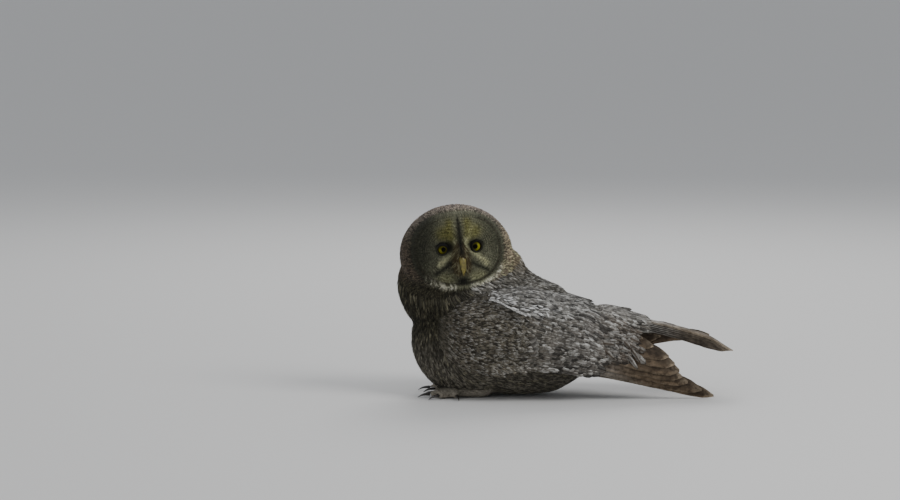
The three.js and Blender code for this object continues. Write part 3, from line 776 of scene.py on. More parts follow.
tiers = {  # feather rows: place in the tier, root X and turn, tip X and turn, half width
    "remex": {"count": 13, "narrow": 0.9, "widths": quillWidths, "sink": [0, 20], "hue": "quill", "tip": "quillTip",
              "pattern": [0.5, 0.15, 0.9],
              "rows": [[0, -58, 104, 204, 106, 13], [1, -58, 101, 252, 107, 15], [2, -58, 98, 284, 105, 16],
                       [3, -58, 94, 272, 101, 17], [5, -58, 85, 240, 89, 19], [7, -58, 74, 231, 75, 20],
                       [8.5, -58, 65, 218, 63, 20], [10, -58, 55, 190, 51, 20], [11.6, -58, 46, 164, 41, 19],
                       [13.2, -50, 37, 138, 32, 18]],
              "level": lambda turn: 1.3 + 0 * turn, "below": lambda turn: 1.8 * np.log(1 + np.exp((97 - turn) / 9))},
    "greater": {"count": 11, "narrow": 0.72, "widths": covertWidths, "sink": [2, -20], "hue": "covert",
                "tip": "quillTip", "pattern": [0.5, 0.1, 0.8],
                "rows": [[0, -66, 101, 84, 103, 16], [2.5, -70, 79, 96, 78, 18], [5, -66, 57, 74, 55, 17]],
                "level": lambda turn: 8.6 + 4.4 * shoulderRise(turn), "below": lambda turn: (103 - turn) / 9 - 1.3},
    "median": {"count": 9, "narrow": 0.7, "widths": covertWidths, "sink": [6, -70], "hue": "covert", "tip": "scapular",
               "pattern": [0.4, 0.4, 0.7],
               "rows": [[0, -110, 103, -14, 104, 15], [2, -116, 88, -4, 88, 16], [4, -112, 73, -12, 73, 16]],
               "level": lambda turn: 11.4 + 6.4 * shoulderRise(turn), "below": lambda turn: (105 - turn) / 7.8 - 1.3},
    "longScapular": {"count": 9, "narrow": 0.5, "widths": covertWidths, "sink": [1.5, 10], "hue": "scapular",
                     "tip": "scapularPale", "pattern": [0.3, 0.6, 0.6],
                     "rows": [[0, -60, 54, 66, 57, 18], [1, -58, 45, 100, 44, 19], [2, -56, 36, 114, 32, 19]],
                     "level": lambda turn: 0.5 * scapularRise(turn), "below": lambda turn: (54 - turn) / 9 - 1.2},
}


def hullPoint(wing, x, turn, lift):
    centre, out, rise = wing["hull"](x)
    a = np.radians(turn)
    y = -wing["side"] * (out + lift) * np.sin(a)
    return np.stack([x + 0 * turn, y, centre + (rise + lift) * np.cos(a)], -1)


def perDegree(wing, x):
    _, out, rise = wing["hull"](x)
    return np.radians((out + rise) / 2)


vaneThickness = 0.55


class Sheets:  # gathers the points, triangles and marks of many thin closed feathers
    def __init__(self):
        self.points, self.tris, self.tint, self.vane, self.pattern, self.spots = ([] for _ in range(6))
        self.total = 0

    def add(self, place, widths, rows, columns, tint, pattern, patch):
        s = 1 - (1 - np.linspace(0, 1, rows)) ** 1.5
        s = np.repeat(s[:, None], columns, 1)
        a = np.repeat(np.linspace(-1, 1, columns)[None, :], rows, 0)
        w = widths(s)[0]
        nick = 1 - 0.06 * (np.sin(s * 61 + 9 * a) > 0.86) * (np.abs(a) > 0.9)
        half = vaneThickness / 2 * (1 - 0.75 * np.abs(a))
        camber = 0.9 * (1 - a * a) * w
        both = [place(s, a * w * nick, camber + half), place(s, a * w * nick, camber - half)]
        n = rows * columns
        grid = np.arange(n).reshape(rows, columns)
        quads = np.stack([grid[:-1, :-1], grid[:-1, 1:], grid[1:, 1:], grid[1:, :-1]], -1).reshape(-1, 4)
        rim = np.concatenate([grid[0, :], grid[1:, -1], grid[-1, -2::-1], grid[-2:0:-1, 0]])
        after = np.roll(rim, -1)
        sides = np.stack([after, rim, rim + n, after + n], -1)
        quads = np.concatenate([quads, quads[:, ::-1] + n, sides])
        tris = np.concatenate([quads[:, [0, 1, 2]], quads[:, [0, 2, 3]]])
        corners = np.concatenate([b.reshape(-1, 3) for b in both])
        corners = (corners - corners.mean(0))[tris]
        if (corners[:, 0] * np.cross(corners[:, 1], corners[:, 2])).sum() < 0:  # faces outwards
            tris = tris[:, ::-1]
        seed = chance.uniform()
        colours = tint(s, a)
        self.points += [b.reshape(-1, 3) for b in both]
        self.tris.append(tris + self.total)
        x0, z0, wide, tall = patch
        for k in range(2):  # the upper and the lower face
            self.tint.append(colours.reshape(-1, 3) * (1 + 0.16 * (seed - 0.5)))
            self.vane.append(np.stack([a, s, seed + 0 * s], -1).reshape(-1, 3))
            self.pattern.append(np.broadcast_to(pattern, (n, 3)))
            spots = [x0 + wide * (0.25 + 0.23 * a + 0.5 * k), z0 + tall * (0.03 + 0.94 * s)]
            self.spots.append(np.stack(spots, -1).reshape(-1, 2))
        self.total += 2 * n

    def piece(self, name):
        points, tris = np.concatenate(self.points), np.concatenate(self.tris)
        mesh = meshOf(name, points, tris, np.ones(len(tris), bool))
        giveMarks(mesh, *map(np.concatenate, (self.tint, self.vane, self.pattern)), np.zeros(len(points)))
        unwrap(mesh, np.concatenate(self.spots)[tris])
        print(name + ":", len(tris), "triangles")
        return addPiece(name, mesh)


core = {"x": -90, "halfLength": 79, "turn": 67, "halfTurn": 48}  # the shoulder under the lesser coverts


def coreLift(x, turn):
    across = np.clip(1 - ((x - core["x"]) / core["halfLength"]) ** 2, 0, 1) ** 0.3
    off = (turn - core["turn"]) / np.maximum(core["halfTurn"] * across, 1e-3)
    return across * coreThickness(x)[0] * np.clip(1 - off ** 2, 0, 1) ** 0.3 * ease(x, -178, -128)


coreThickness = curveThrough([[-170, 14], [-115, 19], [-60, 18], [-10, 16]])
scapularEdge = curveThrough([[-125, 40], [-91, 47], [-33, 62], [10, 61], [60, 57], [110, 50]])
scapularEnd = curveThrough([[-6, 84], [12, 88], [30, 96], [44, 90], [57, 58], [66, 50]])


def makeWing(word, wing):
    sheets = Sheets()
    total = sum(t["count"] for t in tiers.values())
    across, done = 12, 0
    down = math.ceil(total / across)
    for tierName, tier in tiers.items():
        rows = curveThrough(tier["rows"])
        last = tier["rows"][-1][0]
        for i in np.linspace(0, last, tier["count"]):
            rootX, rootTurn, tipX, tipTurn, halfWidth = rows(i)
            tipX, tipTurn = tipX - chance.uniform(0, 7) * (i > 3), tipTurn + chance.uniform(-0.8, 0.8)
            inner = ease(rootTurn, 84, 52) * (wing["side"] < 0)  # on the far wing these lie lower
            tipX, tipTurn = tipX - 40 * inner, tipTurn + 22 * inner
            halfWidth = halfWidth * tier["narrow"] * chance.uniform(0.92, 1.08)
            glow = chance.uniform(0.85, 1.15)
            lie = math.atan2((tipTurn - rootTurn) * float(perDegree(wing, (rootX + tipX) / 2)), tipX - rootX)

            def place(s, aside, lift):
                x = rootX + (tipX - rootX) * s
                each = perDegree(wing, x)
                turn = rootTurn + (tipTurn - rootTurn) * s + aside * halfWidth * math.cos(lie) / each
                height = tier["level"](turn) * (1 - 0.5 * ease(x, 30, 110)) + wingLayer * (i - tier["below"](turn))
                sunk = tier["sink"][0] * (1 - ease(x, tier["sink"][1] - 40, tier["sink"][1]))
                sunk = sunk + inner * (9 if tierName == "longScapular" else 6)
                return hullPoint(wing, x - aside * halfWidth * math.sin(lie), turn, height - sunk + lift)

            def tint(s, a):
                clearOfShade = ease(a, 0.3, 0.75)  # painted shade: darker where the next feather lies over it, since only the lower part of a feather shows past the next one
                c = blendTo(hues["covert"], hues[tier["hue"]], ease(s, 0.4, 0.75))
                edge = np.clip(0.5 * ease(s, 0.94, 1.0) + 0.3 * ease(a, 0.86, 1), 0, 0.8)
                return blendTo(c * (glow * (0.5 + 0.5 * clearOfShade))[..., None], hues[tier["tip"]], edge)

            patch = (done % across / across, done // across / down, 0.96 / across, 0.96 / down)
            sheets.add(place, tier["widths"], 22, 9, tint, tier["pattern"], patch)
            done += 1
    return sheets.piece("wing" + word)


def chartTufts(name, wing, x, turn, length, halfWidth, rise, base, lie, marks, stops=tuftStops, widths=(0.5, 1, 0.8)):
    n = len(x)
    each = perDegree(wing, x)
    spine, normal = [], []
    for s in stops:
        xs = x + length * s * np.cos(lie)
        ts = turn + length * s * np.sin(lie) / each
        lift = base(xs, ts)
        spine.append(hullPoint(wing, xs, ts, lift))
        normal.append(unit(hullPoint(wing, xs, ts, lift + 1) - spine[-1]))
    spine, normal = np.stack(spine, 1), np.stack(normal, 1)
    spots = np.stack([(x + 180) / 500 * 0.96 + 0.02, (turn + 5) / 140 * 0.96 + 0.02], 1)
    return makeTufts(name, spine, normal, halfWidth, rise, marks, spots, stops, widths)


broad = (np.array([0, 0.3, 0.6, 0.87, 1.0]), (0.5, 0.9, 1.0, 0.72))  # stops and widths of a rounded feather


def gridOf(xLimits, turnLimits, gaps, keep=None):
    dx, dt = gaps
    xs, ts = np.meshgrid(np.arange(*xLimits, dx), np.arange(*turnLimits, dt), indexing="ij")
    ts = ts + (np.arange(xs.shape[0]) % 2)[:, None] * dt / 2
    xs = xs.ravel() + chance.uniform(-0.4, 0.4, xs.size) * dx
    ts = ts.ravel() + chance.uniform(-0.35, 0.35, ts.size) * dt
    if keep:
        kept = keep(xs, ts)
        xs, ts = xs[kept], ts[kept]
    return xs, ts


def tierTop(name, turn):
    return tiers[name]["level"](turn) + 3.4


def lesserLift(x, turn):
    inside = coreLift(x, turn)
    coverts = tierTop("median", turn) - 6 * (1 - ease(x, -110, -70))
    lift = inside + (np.maximum(coverts, inside) - inside) * ease(x, -122, -104)
    under = scapularLift(x, turn) - 4.5  # swells up under the scapulars' edge
    close = 1 - ease(turn - scapularEdge(x)[0], -4, 13)
    return lift + np.maximum(under - lift, 0) * close + 0.6


def scapularLift(x, turn):
    up = scapularRise(turn) + 1.5 + 3.5 * (1 - ease(x, -30, 25))
    up = up * (1 - 0.45 * ease(x, 20, 110)) - 9 * (1 - ease(x, -130, -75))
    return 1.2 + (up - 1.2) * ease(turn, -8, 30)


def covertLift(x, turn):
    median = tierTop("median", turn)
    lift = median + (tierTop("greater", turn) - median) * ease(x, -32, -4)
    return lift + (6.2 - lift) * ease(x, 70, 98) + 0.7


def covertMarks(points, s, across, seed):
    x = points[..., 0]
    tint = layered(ground("shoulder", s), ("covert", 0.3 + 0.7 * ease(x, -50, 70)), ("quill", 0.7 * ease(x, 80, 150)))
    tint = tint * (1 + 0.3 * cloudy(points, 11))[..., None]
    tint = layered(tint, ("scapularPale", (0.2 + 0.35 * seed[:, None]) * np.abs(across) * ease(s, 0.4, 1)))
    return varied(tint, seed, 0.2, 0.15, hues["scapularPale"]), same(s, 0.35, 0.75, 0.8), 0 * s


def lesserMarks(points, s, across, seed):
    x = points[..., 0]
    tint = varied(ground("shoulder", s, 0.25, 13, points), seed, 0.25, 0.1, hues["scapular"])
    pale = 0.68 * (seed > 0.4)[:, None] * ease(s, 0.62, 0.95) * ease(cloudy(points, 9), -0.6, 0.3)
    tint = blendTo(tint, hues["scapularPale"], pale)
    tint = blendTo(tint, bodyTint(points), 0.85 * (1 - ease(x, -172, -136)))
    # darker next to the scapulars' edge: the shoulder's own dark brown there, and painted shade under the edge
    tint = tint * (0.6 + 0.4 * ease(turnOf(points) - scapularEdge(x)[0], 0, 14))[..., None]
    return tint, same(s, 0.35, 0.4, 0.8), 0 * s


def scapularMarks(points, s, across, seed):
    tint = ground("scapular", s, 0.32, 8, points)
    patch = 0.25 + 0.75 * spot(points[..., 0], points[..., 2], 34, 134, 62, 34)
    tint = layered(tint, ("scapularPale", 0.95 * (ease(cloudy(points, 11), -0.1, 0.5) * patch)))
    return varied(tint, seed, 0.27, 0.22, hues["scapularPale"]), same(s, 0.25, 0.7, 0.65), 0 * s


def looseMarks(points, s, across, seed):
    tint = layered(
        ground("quill", s) * 0.7,
        ("covert", 0.8 * (seed > 0.55)[:, None] + 0 * s),
        ("scapularPale", 0.5 * ease(np.abs(across), 0.5, 1) * ease(s, 0.1, 0.5)))
    return tint, same(s, 0.6, 0.5, 0.8), 0 * s


def edgeMarks(points, s, across, seed):
    tint = layered(ground("edgeWhite", s), ("scapular", np.clip(seed * 2 - 0.9, 0, 1)[:, None] + 0 * s))
    return tint, same(s, 0, 0.25, 0.3), 0 * s


def covertEdges(x, turn, near):
    top = scapularEdge(x)[0] - 6 - 12 * ease(x, 50, 80) * near
    return (turn > top) & (x < 70 + 62 * ease(turn, 104, 74) + chance.uniform(-8, 8, len(x)))


wingCoats = {  # grid, range of sizes, how they grow, length, half width, rise, lie, its spread and turn in front
    "lesser": {"grid": [(-166, -34), (22, 114), (2.9, 1.6)], "sizes": [0.8, 1.2], "shape": [11, 1.55, 1.6],
               "keep": lambda x, turn, near: (turn > scapularEdge(x)[0] - 7) & (coreLift(x, turn) > 0.3),
               "growth": lambda x: 0.75 + 0.5 * ease(x, -165, -70), "lie": [0.12, 0.12, 0.5],
               "lift": lambda x, turn, far: lesserLift(x, turn), "marks": [lesserMarks]},
    "scapular": {"grid": [(-118, 96), (-4, 66), (3.4, 1.9)], "sizes": [0.8, 1.25], "shape": [17, 2.1, 2.0],
                 "keep": lambda x, turn, near: (turn < scapularEdge(x)[0] - 2) & (x < scapularEnd(turn)[0] - 20),
                 "growth": lambda x: 1, "lie": [0.05, 0.14, 0],
                 "lift": lambda x, turn, far: scapularLift(x, turn) - 5.5 * ease(x, 15, 85) * far,
                 "marks": [scapularMarks]},
    "covert": {"grid": [(-46, 140), (36, 108), (5.6, 2.7)], "sizes": [0.85, 1.2], "shape": [22, 3.8, 1.8],
               "keep": covertEdges, "growth": lambda x: 1 + 0.3 * ease(x, 40, 100), "lie": [0.05, 0.08, 0],
               "lift": lambda x, turn, far: covertLift(x, turn), "marks": [covertMarks, *broad]},
}
looseCount = 26
edgeCount = {"line": 230, "all": 300}


def makeWingCoat(word, wing):
    near, far = wing["side"] > 0, wing["side"] < 0
    made = []
    for name, coat in wingCoats.items():
        x, turn = gridOf(*coat["grid"], lambda xs, ts: coat["keep"](xs, ts, near))
        size = chance.uniform(*coat["sizes"], len(x)) * coat["growth"](x)
        mid, spread, inFront = coat["lie"]
        lie = mid + chance.normal(0, spread, len(x)) + inFront * (1 - ease(x, -166, -120))
        length, halfWidth, rise = (size * k for k in coat["shape"])
        made.append(chartTufts(name + word, wing, x, turn, length, halfWidth, rise,
                               lambda xs, ts: coat["lift"](xs, ts, far), lie, *coat["marks"]))
    if near:  # some loosened feathers over the inner quills
        n = looseCount
        x, turn = chance.uniform(92, 142, n), chance.uniform(52, 82, n)
        length, halfWidth, rise = chance.uniform(20, 36, n), chance.uniform(3.5, 6, n), chance.uniform(3, 9, n)
        made.append(chartTufts("loose" + word, wing, x, turn, length, halfWidth, rise, lambda xs, ts: 6.5 + 0 * ts,
                               0.2 + chance.normal(0, 0.45, n), looseMarks, *broad))
    n = edgeCount["all"]
    line = np.arange(n) < edgeCount["line"]  # a thin white line, with loose white tufts above it
    x = np.where(line, chance.uniform(-106, -24, n), chance.uniform(-100, 10, n))
    turn = scapularEdge(x)[0] - 2.2 - np.where(line, chance.normal(0, 0.35, n), chance.uniform(1, 11, n))
    lie = np.where(line, 0.4 + chance.normal(0, 0.07, n), 0.22 + chance.normal(0, 0.3, n))
    length, halfWidth = chance.uniform(6.5, 11, n), np.where(line, 0.9, 1.2) * chance.uniform(0.8, 1.2, n)
    made.append(chartTufts("scapularEdge" + word, wing, x, turn, length, halfWidth, np.where(line, 0.8, 1.2),
                           lambda xs, ts: scapularLift(xs, ts) + 1.9, lie, edgeMarks))
    return made


def makeWingCore(word, wing):
    def place(angle, t):
        around = np.sin(np.pi * t) ** 0.6
        x = core["x"] - core["halfLength"] * np.cos(np.pi * t)
        turn = core["turn"] + core["halfTurn"] * around * np.sin(angle)
        out = np.cos(angle)
        lift = around * np.where(out > 0, coreThickness(x)[0] * np.abs(out) ** 0.6, -2 * np.abs(out))
        return hullPoint(wing, x, turn, lift * ease(x, -178, -128) - 0.6)

    bm = bmesh.new()
    mould(bm, 48, 32, place)
    piece = pieceFrom(bm, "wingCore" + word)
    p = read(piece.data.vertices, "co", 3) / mm
    tint = blendTo(bodyTint(p) * 0.6, hues["shoulder"] * 0.7, ease(p[:, 0], -165, -130))
    plainMarks(piece.data, tint, 0.8)
    return piece


wingPieces = {}
for word, wing in wings.items():
    wingPieces[word] = [makeWing(word, wing), makeWingCore(word, wing)] + makeWingCoat(word, wing)

# Tail


def tailPoint(along, aside, lift):
    high = 136 - 0.1 * along - 0.00062 * along ** 2 - 6 * ease(along, 165, 232) - 0.003 * aside ** 2
    return np.stack([100 + along, aside, high + lift], -1)


tail = {"count": 12, "layer": 1.1, "spread": [1.5, 4.1], "root": 6, "length": 220, "halfWidth": 21,
        "pattern": [0.6, 0.25, 0.8], "covert": {"length": 26, "halfWidth": 4.6, "rise": 1.8}}
tailWidths = curveThrough([[0, 0.5], [0.25, 0.8], [0.6, 1], [0.9, 1], [0.95, 0.87], [0.98, 0.6], [1, 0.12]])
tailRoot = curveThrough([[-1, 36, 30, 12], [-0.2, 35, 24, 12], [0.4, 36, 17, 9], [1, 36, 13, 7]])


def makeTail():
    sheets = Sheets()
    for i in range(tail["count"]):
        off = i - (tail["count"] - 1) / 2
        pair = int(abs(off))
        rank = 2 * pair + (0 if off > 0 else 1)
        root, count = tail["root"], tail["count"]
        tip = root + (tail["length"] - root) * (1 - 0.014 * pair)

        def place(s, aside, lift):
            middle = off * (tail["spread"][0] + (tail["spread"][1] - tail["spread"][0]) * s)
            depth = tail["layer"] * (rank + (6 - rank) * 0.8 * ease(s, 0.8, 1))
            return tailPoint(root + (tip - root) * s, middle + aside * tail["halfWidth"], lift - depth)

        def tint(s, a):
            # painted shade: feathers lower in the stack (higher rank) are darker
            c = blendTo(hues["back"], hues["tail"], ease(s, 0.35, 0.7)) * (1 - 0.05 * rank)
            pale = 0.6 * ease(s, 0.93, 1.0) + 0.55 * ease(np.abs(a), 0.55, 0.95) * (rank < 2)
            return blendTo(c, hues["quillTip"], np.clip(pale, 0, 0.85))

        sheets.add(place, tailWidths, 26, 7, tint, tail["pattern"], (i / count, 0.02, 0.96 / count, 0.96))
    fan = sheets.piece("tailFan")
    bm = bmesh.new()

    def rump(angle, t):
        along, around = -np.cos(np.pi * t), np.sin(np.pi * t) ** 0.7
        out, rise, drop = tailRoot(along)
        high = around * (rise - 3) * np.cos(angle) - drop
        return tailPoint(40 + 48 * along, around * (out - 3) * np.sin(angle), high)

    mould(bm, 40, 24, rump)
    covert = tail["covert"]
    rumpPiece = pieceFrom(bm, "tailCore")
    plainMarks(rumpPiece.data, hues["back"], 0.8)
    along, angle = gridOf((-52, 50), (-180, 180), (4.4, 7.0))
    n = len(along)
    size = chance.uniform(0.8, 1.2, n) * (1 + 0.4 * ease(along, 20, 80))
    spine, normal = [], []
    for s in tuftStops:
        xs = along + covert["length"] * size * s
        t = np.maximum((xs - 40) / 50, -0.999)
        around = np.sqrt(1 - np.minimum(t, 0) ** 2) ** 0.7
        out, rise, drop = tailRoot(np.minimum(t, 0.6))
        a = np.radians(angle)
        flat = ease(xs, 25, 90)
        up, down = rise - drop, rise + drop
        high = np.where(np.cos(a) > 0, up + (2.5 - up) * flat, down + (16.5 - down) * flat)
        upright = np.sign(np.cos(a)) * np.abs(np.cos(a)) ** (1 - 0.5 * flat)
        wide = around * (out + (33 - out) * flat)
        spine.append(tailPoint(xs, wide * np.sin(a), around * high * upright))
        normal.append(unit(np.stack([0 * a, np.sin(a) * (1 - 0.6 * flat), np.cos(a)], -1)))
    spots = np.stack([(along + 60) / 160 * 0.9 + 0.05, (angle + 180) / 360 * 0.9 + 0.05], 1)

    def marks(points, s, across, seed):
        tint = ground("back", s, 0.2, 12, points)
        tint = layered(tint, ("scapularPale", 0.35 * np.abs(across) * ease(s, 0.5, 1)))
        return varied(tint, seed, 0.25, 0.2, hues["scapularPale"]), same(s, 0.3, 0.6, 0.6), 0 * s

    coat = makeTufts("tailCoverts", np.stack(spine, 1), np.stack(normal, 1), covert["halfWidth"] * size,
                     covert["rise"] * size, marks, spots)
    return [fan, rumpPiece, coat]


tailPieces = makeTail()

# Eyes, lids, bill and claws


def turned(bm, side):  # from a piece's own axis to the eye's place in the head
    for v in bm.verts:
        x, y, z = v.co
        v.co = Vector(fromHead(np.array([side * eye["x"] + x, eye["y"] - z, eye["z"] + y])) * mm)


def makeEye(word, side):
    bm = bmesh.new()
    bmesh.ops.create_uvsphere(bm, u_segments=48, v_segments=32, radius=eye["radius"])
    gaze = {}
    for v in bm.verts:
        away = math.degrees(math.acos(max(-1, min(1, v.co.z / eye["radius"]))))
        v.co *= 1 + 0.07 * math.exp(-((away / 34) ** 4))
        gaze[v.index] = away
    inwards = Matrix.Rotation(-side * math.radians(eye["cross"][word]), 3, "Y")
    bmesh.ops.rotate(bm, verts=bm.verts, cent=(0, 0, 0), matrix=inwards)
    bm.verts.index_update()
    away = [gaze[v.index] for v in bm.verts]
    around = [math.atan2(v.co.y, v.co.x) for v in bm.verts]
    turned(bm, side)
    piece = pieceFrom(bm, "eye" + word)
    high, inward = np.sin(around), -side * np.cos(around)
    # painted shade on the iris, kept in the spin attribute's second value: it grows toward the top and inner side as
    # the lid's shadow, and is raised on the bird's right eye (side < 0) as painted shadow over that eye
    shade = 0.35 * high + 0.8 * inward if side > 0 else 0.5 * high + 0.75 * inward + 0.85
    giveValues(piece.data, "gaze", "FLOAT", away)
    giveValues(piece.data, "spin", "FLOAT_VECTOR", np.stack([np.cos(around), shade, np.array(away) / 90], -1))
    return piece


lid = {"edge": 42, "reach": 17, "outer": 2.1, "inner": 1.0, "bead": 0.2, "half": 4, "steps": 48}


def makeLid(word, side):
    bm = bmesh.new()
    profile = []
    half, count = lid["half"], 2 * lid["half"]
    for k in range(count):  # a slim loop from the opening's edge back over the ball
        angle = math.radians(lid["edge"] + lid["reach"] * (k / 3 if k < half else (count - 1 - k) / 3))
        r = eye["radius"] + (lid["outer"] if k < half else lid["inner"]) + (lid["bead"] if k in (1, 2) else 0)
        profile.append(bm.verts.new((r * math.sin(angle), 0, r * math.cos(angle))))
    edges = [bm.edges.new((profile[k], profile[(k + 1) % count])) for k in range(count)]
    bmesh.ops.spin(bm, geom=profile + edges, cent=(0, 0, 0), axis=(0, 0, 1), dvec=(0, 0, 0), angle=2 * math.pi,
                   steps=lid["steps"], use_merge=True)
    bmesh.ops.remove_doubles(bm, verts=bm.verts, dist=1e-4)
    for v in bm.verts:
        far = v.co.length
        deg = math.degrees(math.atan2(math.hypot(v.co.x, v.co.y), v.co.z))
        a = math.atan2(v.co.y, v.co.x)
        near = 1 - min(1, max(0, (deg - lid["edge"]) / lid["reach"]))
        inner = max(0, -side * math.cos(a))
        if a > 0:  # the upper lid comes lower, most on the inner side
            v.co.y -= (eye["drop"][word] + 1.4 * inner) * near * math.sin(a)
        v.co.x += side * eye["inward"][word] * near * inner * max(0, 0.7 - 0.5 * math.sin(a))
        v.co *= far / v.co.length
    turned(bm, side)
    piece = pieceFrom(bm, "lid" + word)
    q = toHead(np.array([v.co for v in piece.data.vertices]) / mm)
    # the lid is dark, and painted blacker along its top and inner side as shade under the brow
    upper = ease((q[:, 2] - eye["z"]) - 0.6 * (np.abs(q[:, 0]) - eye["x"]), -6, 5)
    plainMarks(piece.data, blendTo(hues["discDark"], hues["eyeBlack"], upper), 0.4)
    return piece


def finer(name, node, levels):  # a rounder copy of a hard CAD part
    piece = pieceFrom(welded(node), name)
    smoother = piece.modifiers.new("Subdivision", "SUBSURF")
    smoother.levels = smoother.render_levels = levels
    settled(piece)
    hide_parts(node)
    return piece


eyes = [makeEye("Left", 1), makeEye("Right", -1)]
lids = [makeLid("Left", 1), makeLid("Right", -1)]
bills = [finer("billUpper", "bill_upper", 2), finer("billLower", "bill_lower", 2)]
claws = [finer(f"claw{word.title()}{i}", f"talon_{word}_{i}", 1) for word in ("left", "right") for i in (1, 2, 3, 4)]
print("eyes, bill and claws")

# Materials


class Nodes:  # short calls for building a node tree
    def __init__(self, tree):
        self.tree = tree

    def add(self, kind, **values):
        node = self.tree.nodes.new(kind)
        for key, value in values.items():
            if hasattr(node, key):
                setattr(node, key, value)
            else:
                node.inputs[key].default_value = value
        return node

    def link(self, a, b):
        self.tree.links.new(a, b)

    def put(self, socket, value):
        if isinstance(value, bpy.types.NodeSocket):
            self.link(value, socket)
        else:
            socket.default_value = value

    def math(self, operation, a, b=0.0, c=0.0, clamp=False):
        node = self.add("ShaderNodeMath", operation=operation, use_clamp=clamp)
        for socket, value in zip(node.inputs, (a, b, c)):
            self.put(socket, value)
        return node.outputs[0]

    def times(self, *factors):
        total = factors[0]
        for factor in factors[1:]:
            total = self.math("MULTIPLY", total, factor)
        return total

    def plus(self, a, b):
        return self.math("ADD", a, b)

    def without(self, a):  # what is left of 1
        return self.math("SUBTRACT", 1.0, a)

    def mix(self, factor, a, b, blend="MIX"):
        node = self.add("ShaderNodeMix", data_type="RGBA", blend_type=blend)
        self.put(node.inputs[0], factor)
        self.put(node.inputs[6], a)
        self.put(node.inputs[7], b)
        return node.outputs[2]

    def step(self, value, low, high):
        node = self.add("ShaderNodeMapRange", interpolation_type="SMOOTHSTEP")
        for socket, v in zip(node.inputs, (value, low, high, 0.0, 1.0)):
            self.put(socket, v)
        return node.outputs[0]


def newGroup(name, inputs, outputs):
    group = bpy.data.node_groups.new(name, "ShaderNodeTree")
    for title, kind in inputs:
        group.interface.new_socket(name=title, in_out="INPUT", socket_type=kind)
    for title, kind in outputs:
        group.interface.new_socket(name=title, in_out="OUTPUT", socket_type=kind)
    return group


def makeFeatherMarks():
    real, way, hue = "NodeSocketFloat", "NodeSocketVector", "NodeSocketColor"
    group = newGroup("featherMarks", [("Tint", hue), ("Vane", way), ("Pattern", way), ("Ring", real), ("Object", way),
                                      ("Bars", real), ("Grain", real)], [("Color", hue), ("Height", real)])
    k = Nodes(group)
    into, out = k.add("NodeGroupInput").outputs, k.add("NodeGroupOutput")
    vane, pattern = k.add("ShaderNodeSeparateXYZ"), k.add("ShaderNodeSeparateXYZ")
    k.link(into["Vane"], vane.inputs[0])
    k.link(into["Pattern"], pattern.inputs[0])
    across, along, seed = vane.outputs
    barred, shafted, specked = pattern.outputs

    def noise(**values):
        node = k.add("ShaderNodeTexNoise", **values)
        k.link(into["Object"], node.inputs["Vector"])
        return node

    speck = noise(Detail=3.0, Roughness=0.65)
    k.link(into["Grain"], speck.inputs["Scale"])
    fine, tint, ring = speck.outputs[0], into["Tint"], into["Ring"]
    dark = k.mix(1.0, tint, (0.26, 0.23, 0.2, 1), "MULTIPLY")
    pale = k.mix(1.0, tint, (1.75, 1.75, 1.75, 1), "MULTIPLY")
    colour = k.mix(k.times(k.without(k.step(fine, 0.38, 0.5)), specked, 0.75), tint, dark)
    colour = k.mix(k.times(k.step(fine, 0.52, 0.66), specked, 0.7), colour, pale)
    bend = k.plus(k.times(across, across, 0.35), k.times(fine, 0.7))
    phase = k.plus(k.plus(k.times(along, into["Bars"]), seed), bend)
    wave = k.math("SINE", k.times(phase, wholeTurn))
    colour = k.mix(k.times(k.step(wave, -0.3, 0.8), barred, 0.7), colour, dark)
    wander = k.times(k.math("SUBTRACT", fine, 0.5), 0.5)
    shaft = k.without(k.step(k.math("ABSOLUTE", k.plus(across, wander)), 0.05, 0.5))
    colour = k.mix(k.times(shaft, shafted, 0.8), colour, dark)
    sway = k.times(noise(Scale=75.0, Detail=1.0).outputs[0], 9.0)
    ringPhase = k.plus(k.times(ring, wholeTurn / ringGap), k.plus(sway, k.times(fine, 3.0)))
    ringWave = k.math("SINE", ringPhase)
    patches = noise(Scale=110.0, Detail=2.0).outputs[0]
    here = k.times(k.step(patches, 0.36, 0.62), k.step(ring, 12.0, 26.0))
    colour = k.mix(k.times(k.step(ringWave, -0.1, 0.7), here, 0.5), colour, dark)
    colour = k.mix(k.times(k.step(k.times(ringWave, -1.0), 0.2, 0.9), here, 0.65), colour, pale)
    off = k.math("ABSOLUTE", across)
    barb = k.math("SINE", k.plus(k.times(along, 260.0), k.times(off, 45.0)))
    height = k.plus(k.times(barb, 0.12), k.times(k.without(k.step(off, 0.02, 0.09)), 0.8))
    k.link(colour, out.inputs["Color"])
    k.link(k.plus(height, fine), out.inputs["Height"])
    return group


wholeTurn, ringGap = 6.2832, 5.8  # the rings of the disc are this far apart
featherMarks = makeFeatherMarks()
plumage = {  # material: bars along a feather, grain per metre, bump in metres
    "facePlumage": [1.5, 260.0, 0.0003],
    "crownPlumage": [2.2, 200.0, 0.0004],
    "bodyPlumage": [2.0, 170.0, 0.0005],
    "wingPlumage": [2.0, 190.0, 0.0005],
    "quillPlumage": [6.0, 130.0, 0.0003],
    "footPlumage": [1.0, 300.0, 0.0004],
}


def newMaterial(name, values):
    material = bpy.data.materials.new(name)
    material.use_nodes = True
    k = Nodes(material.node_tree)
    shader = k.tree.nodes["Principled BSDF"]
    for key, value in values.items():
        shader.inputs[key].default_value = value
    return material, k, shader


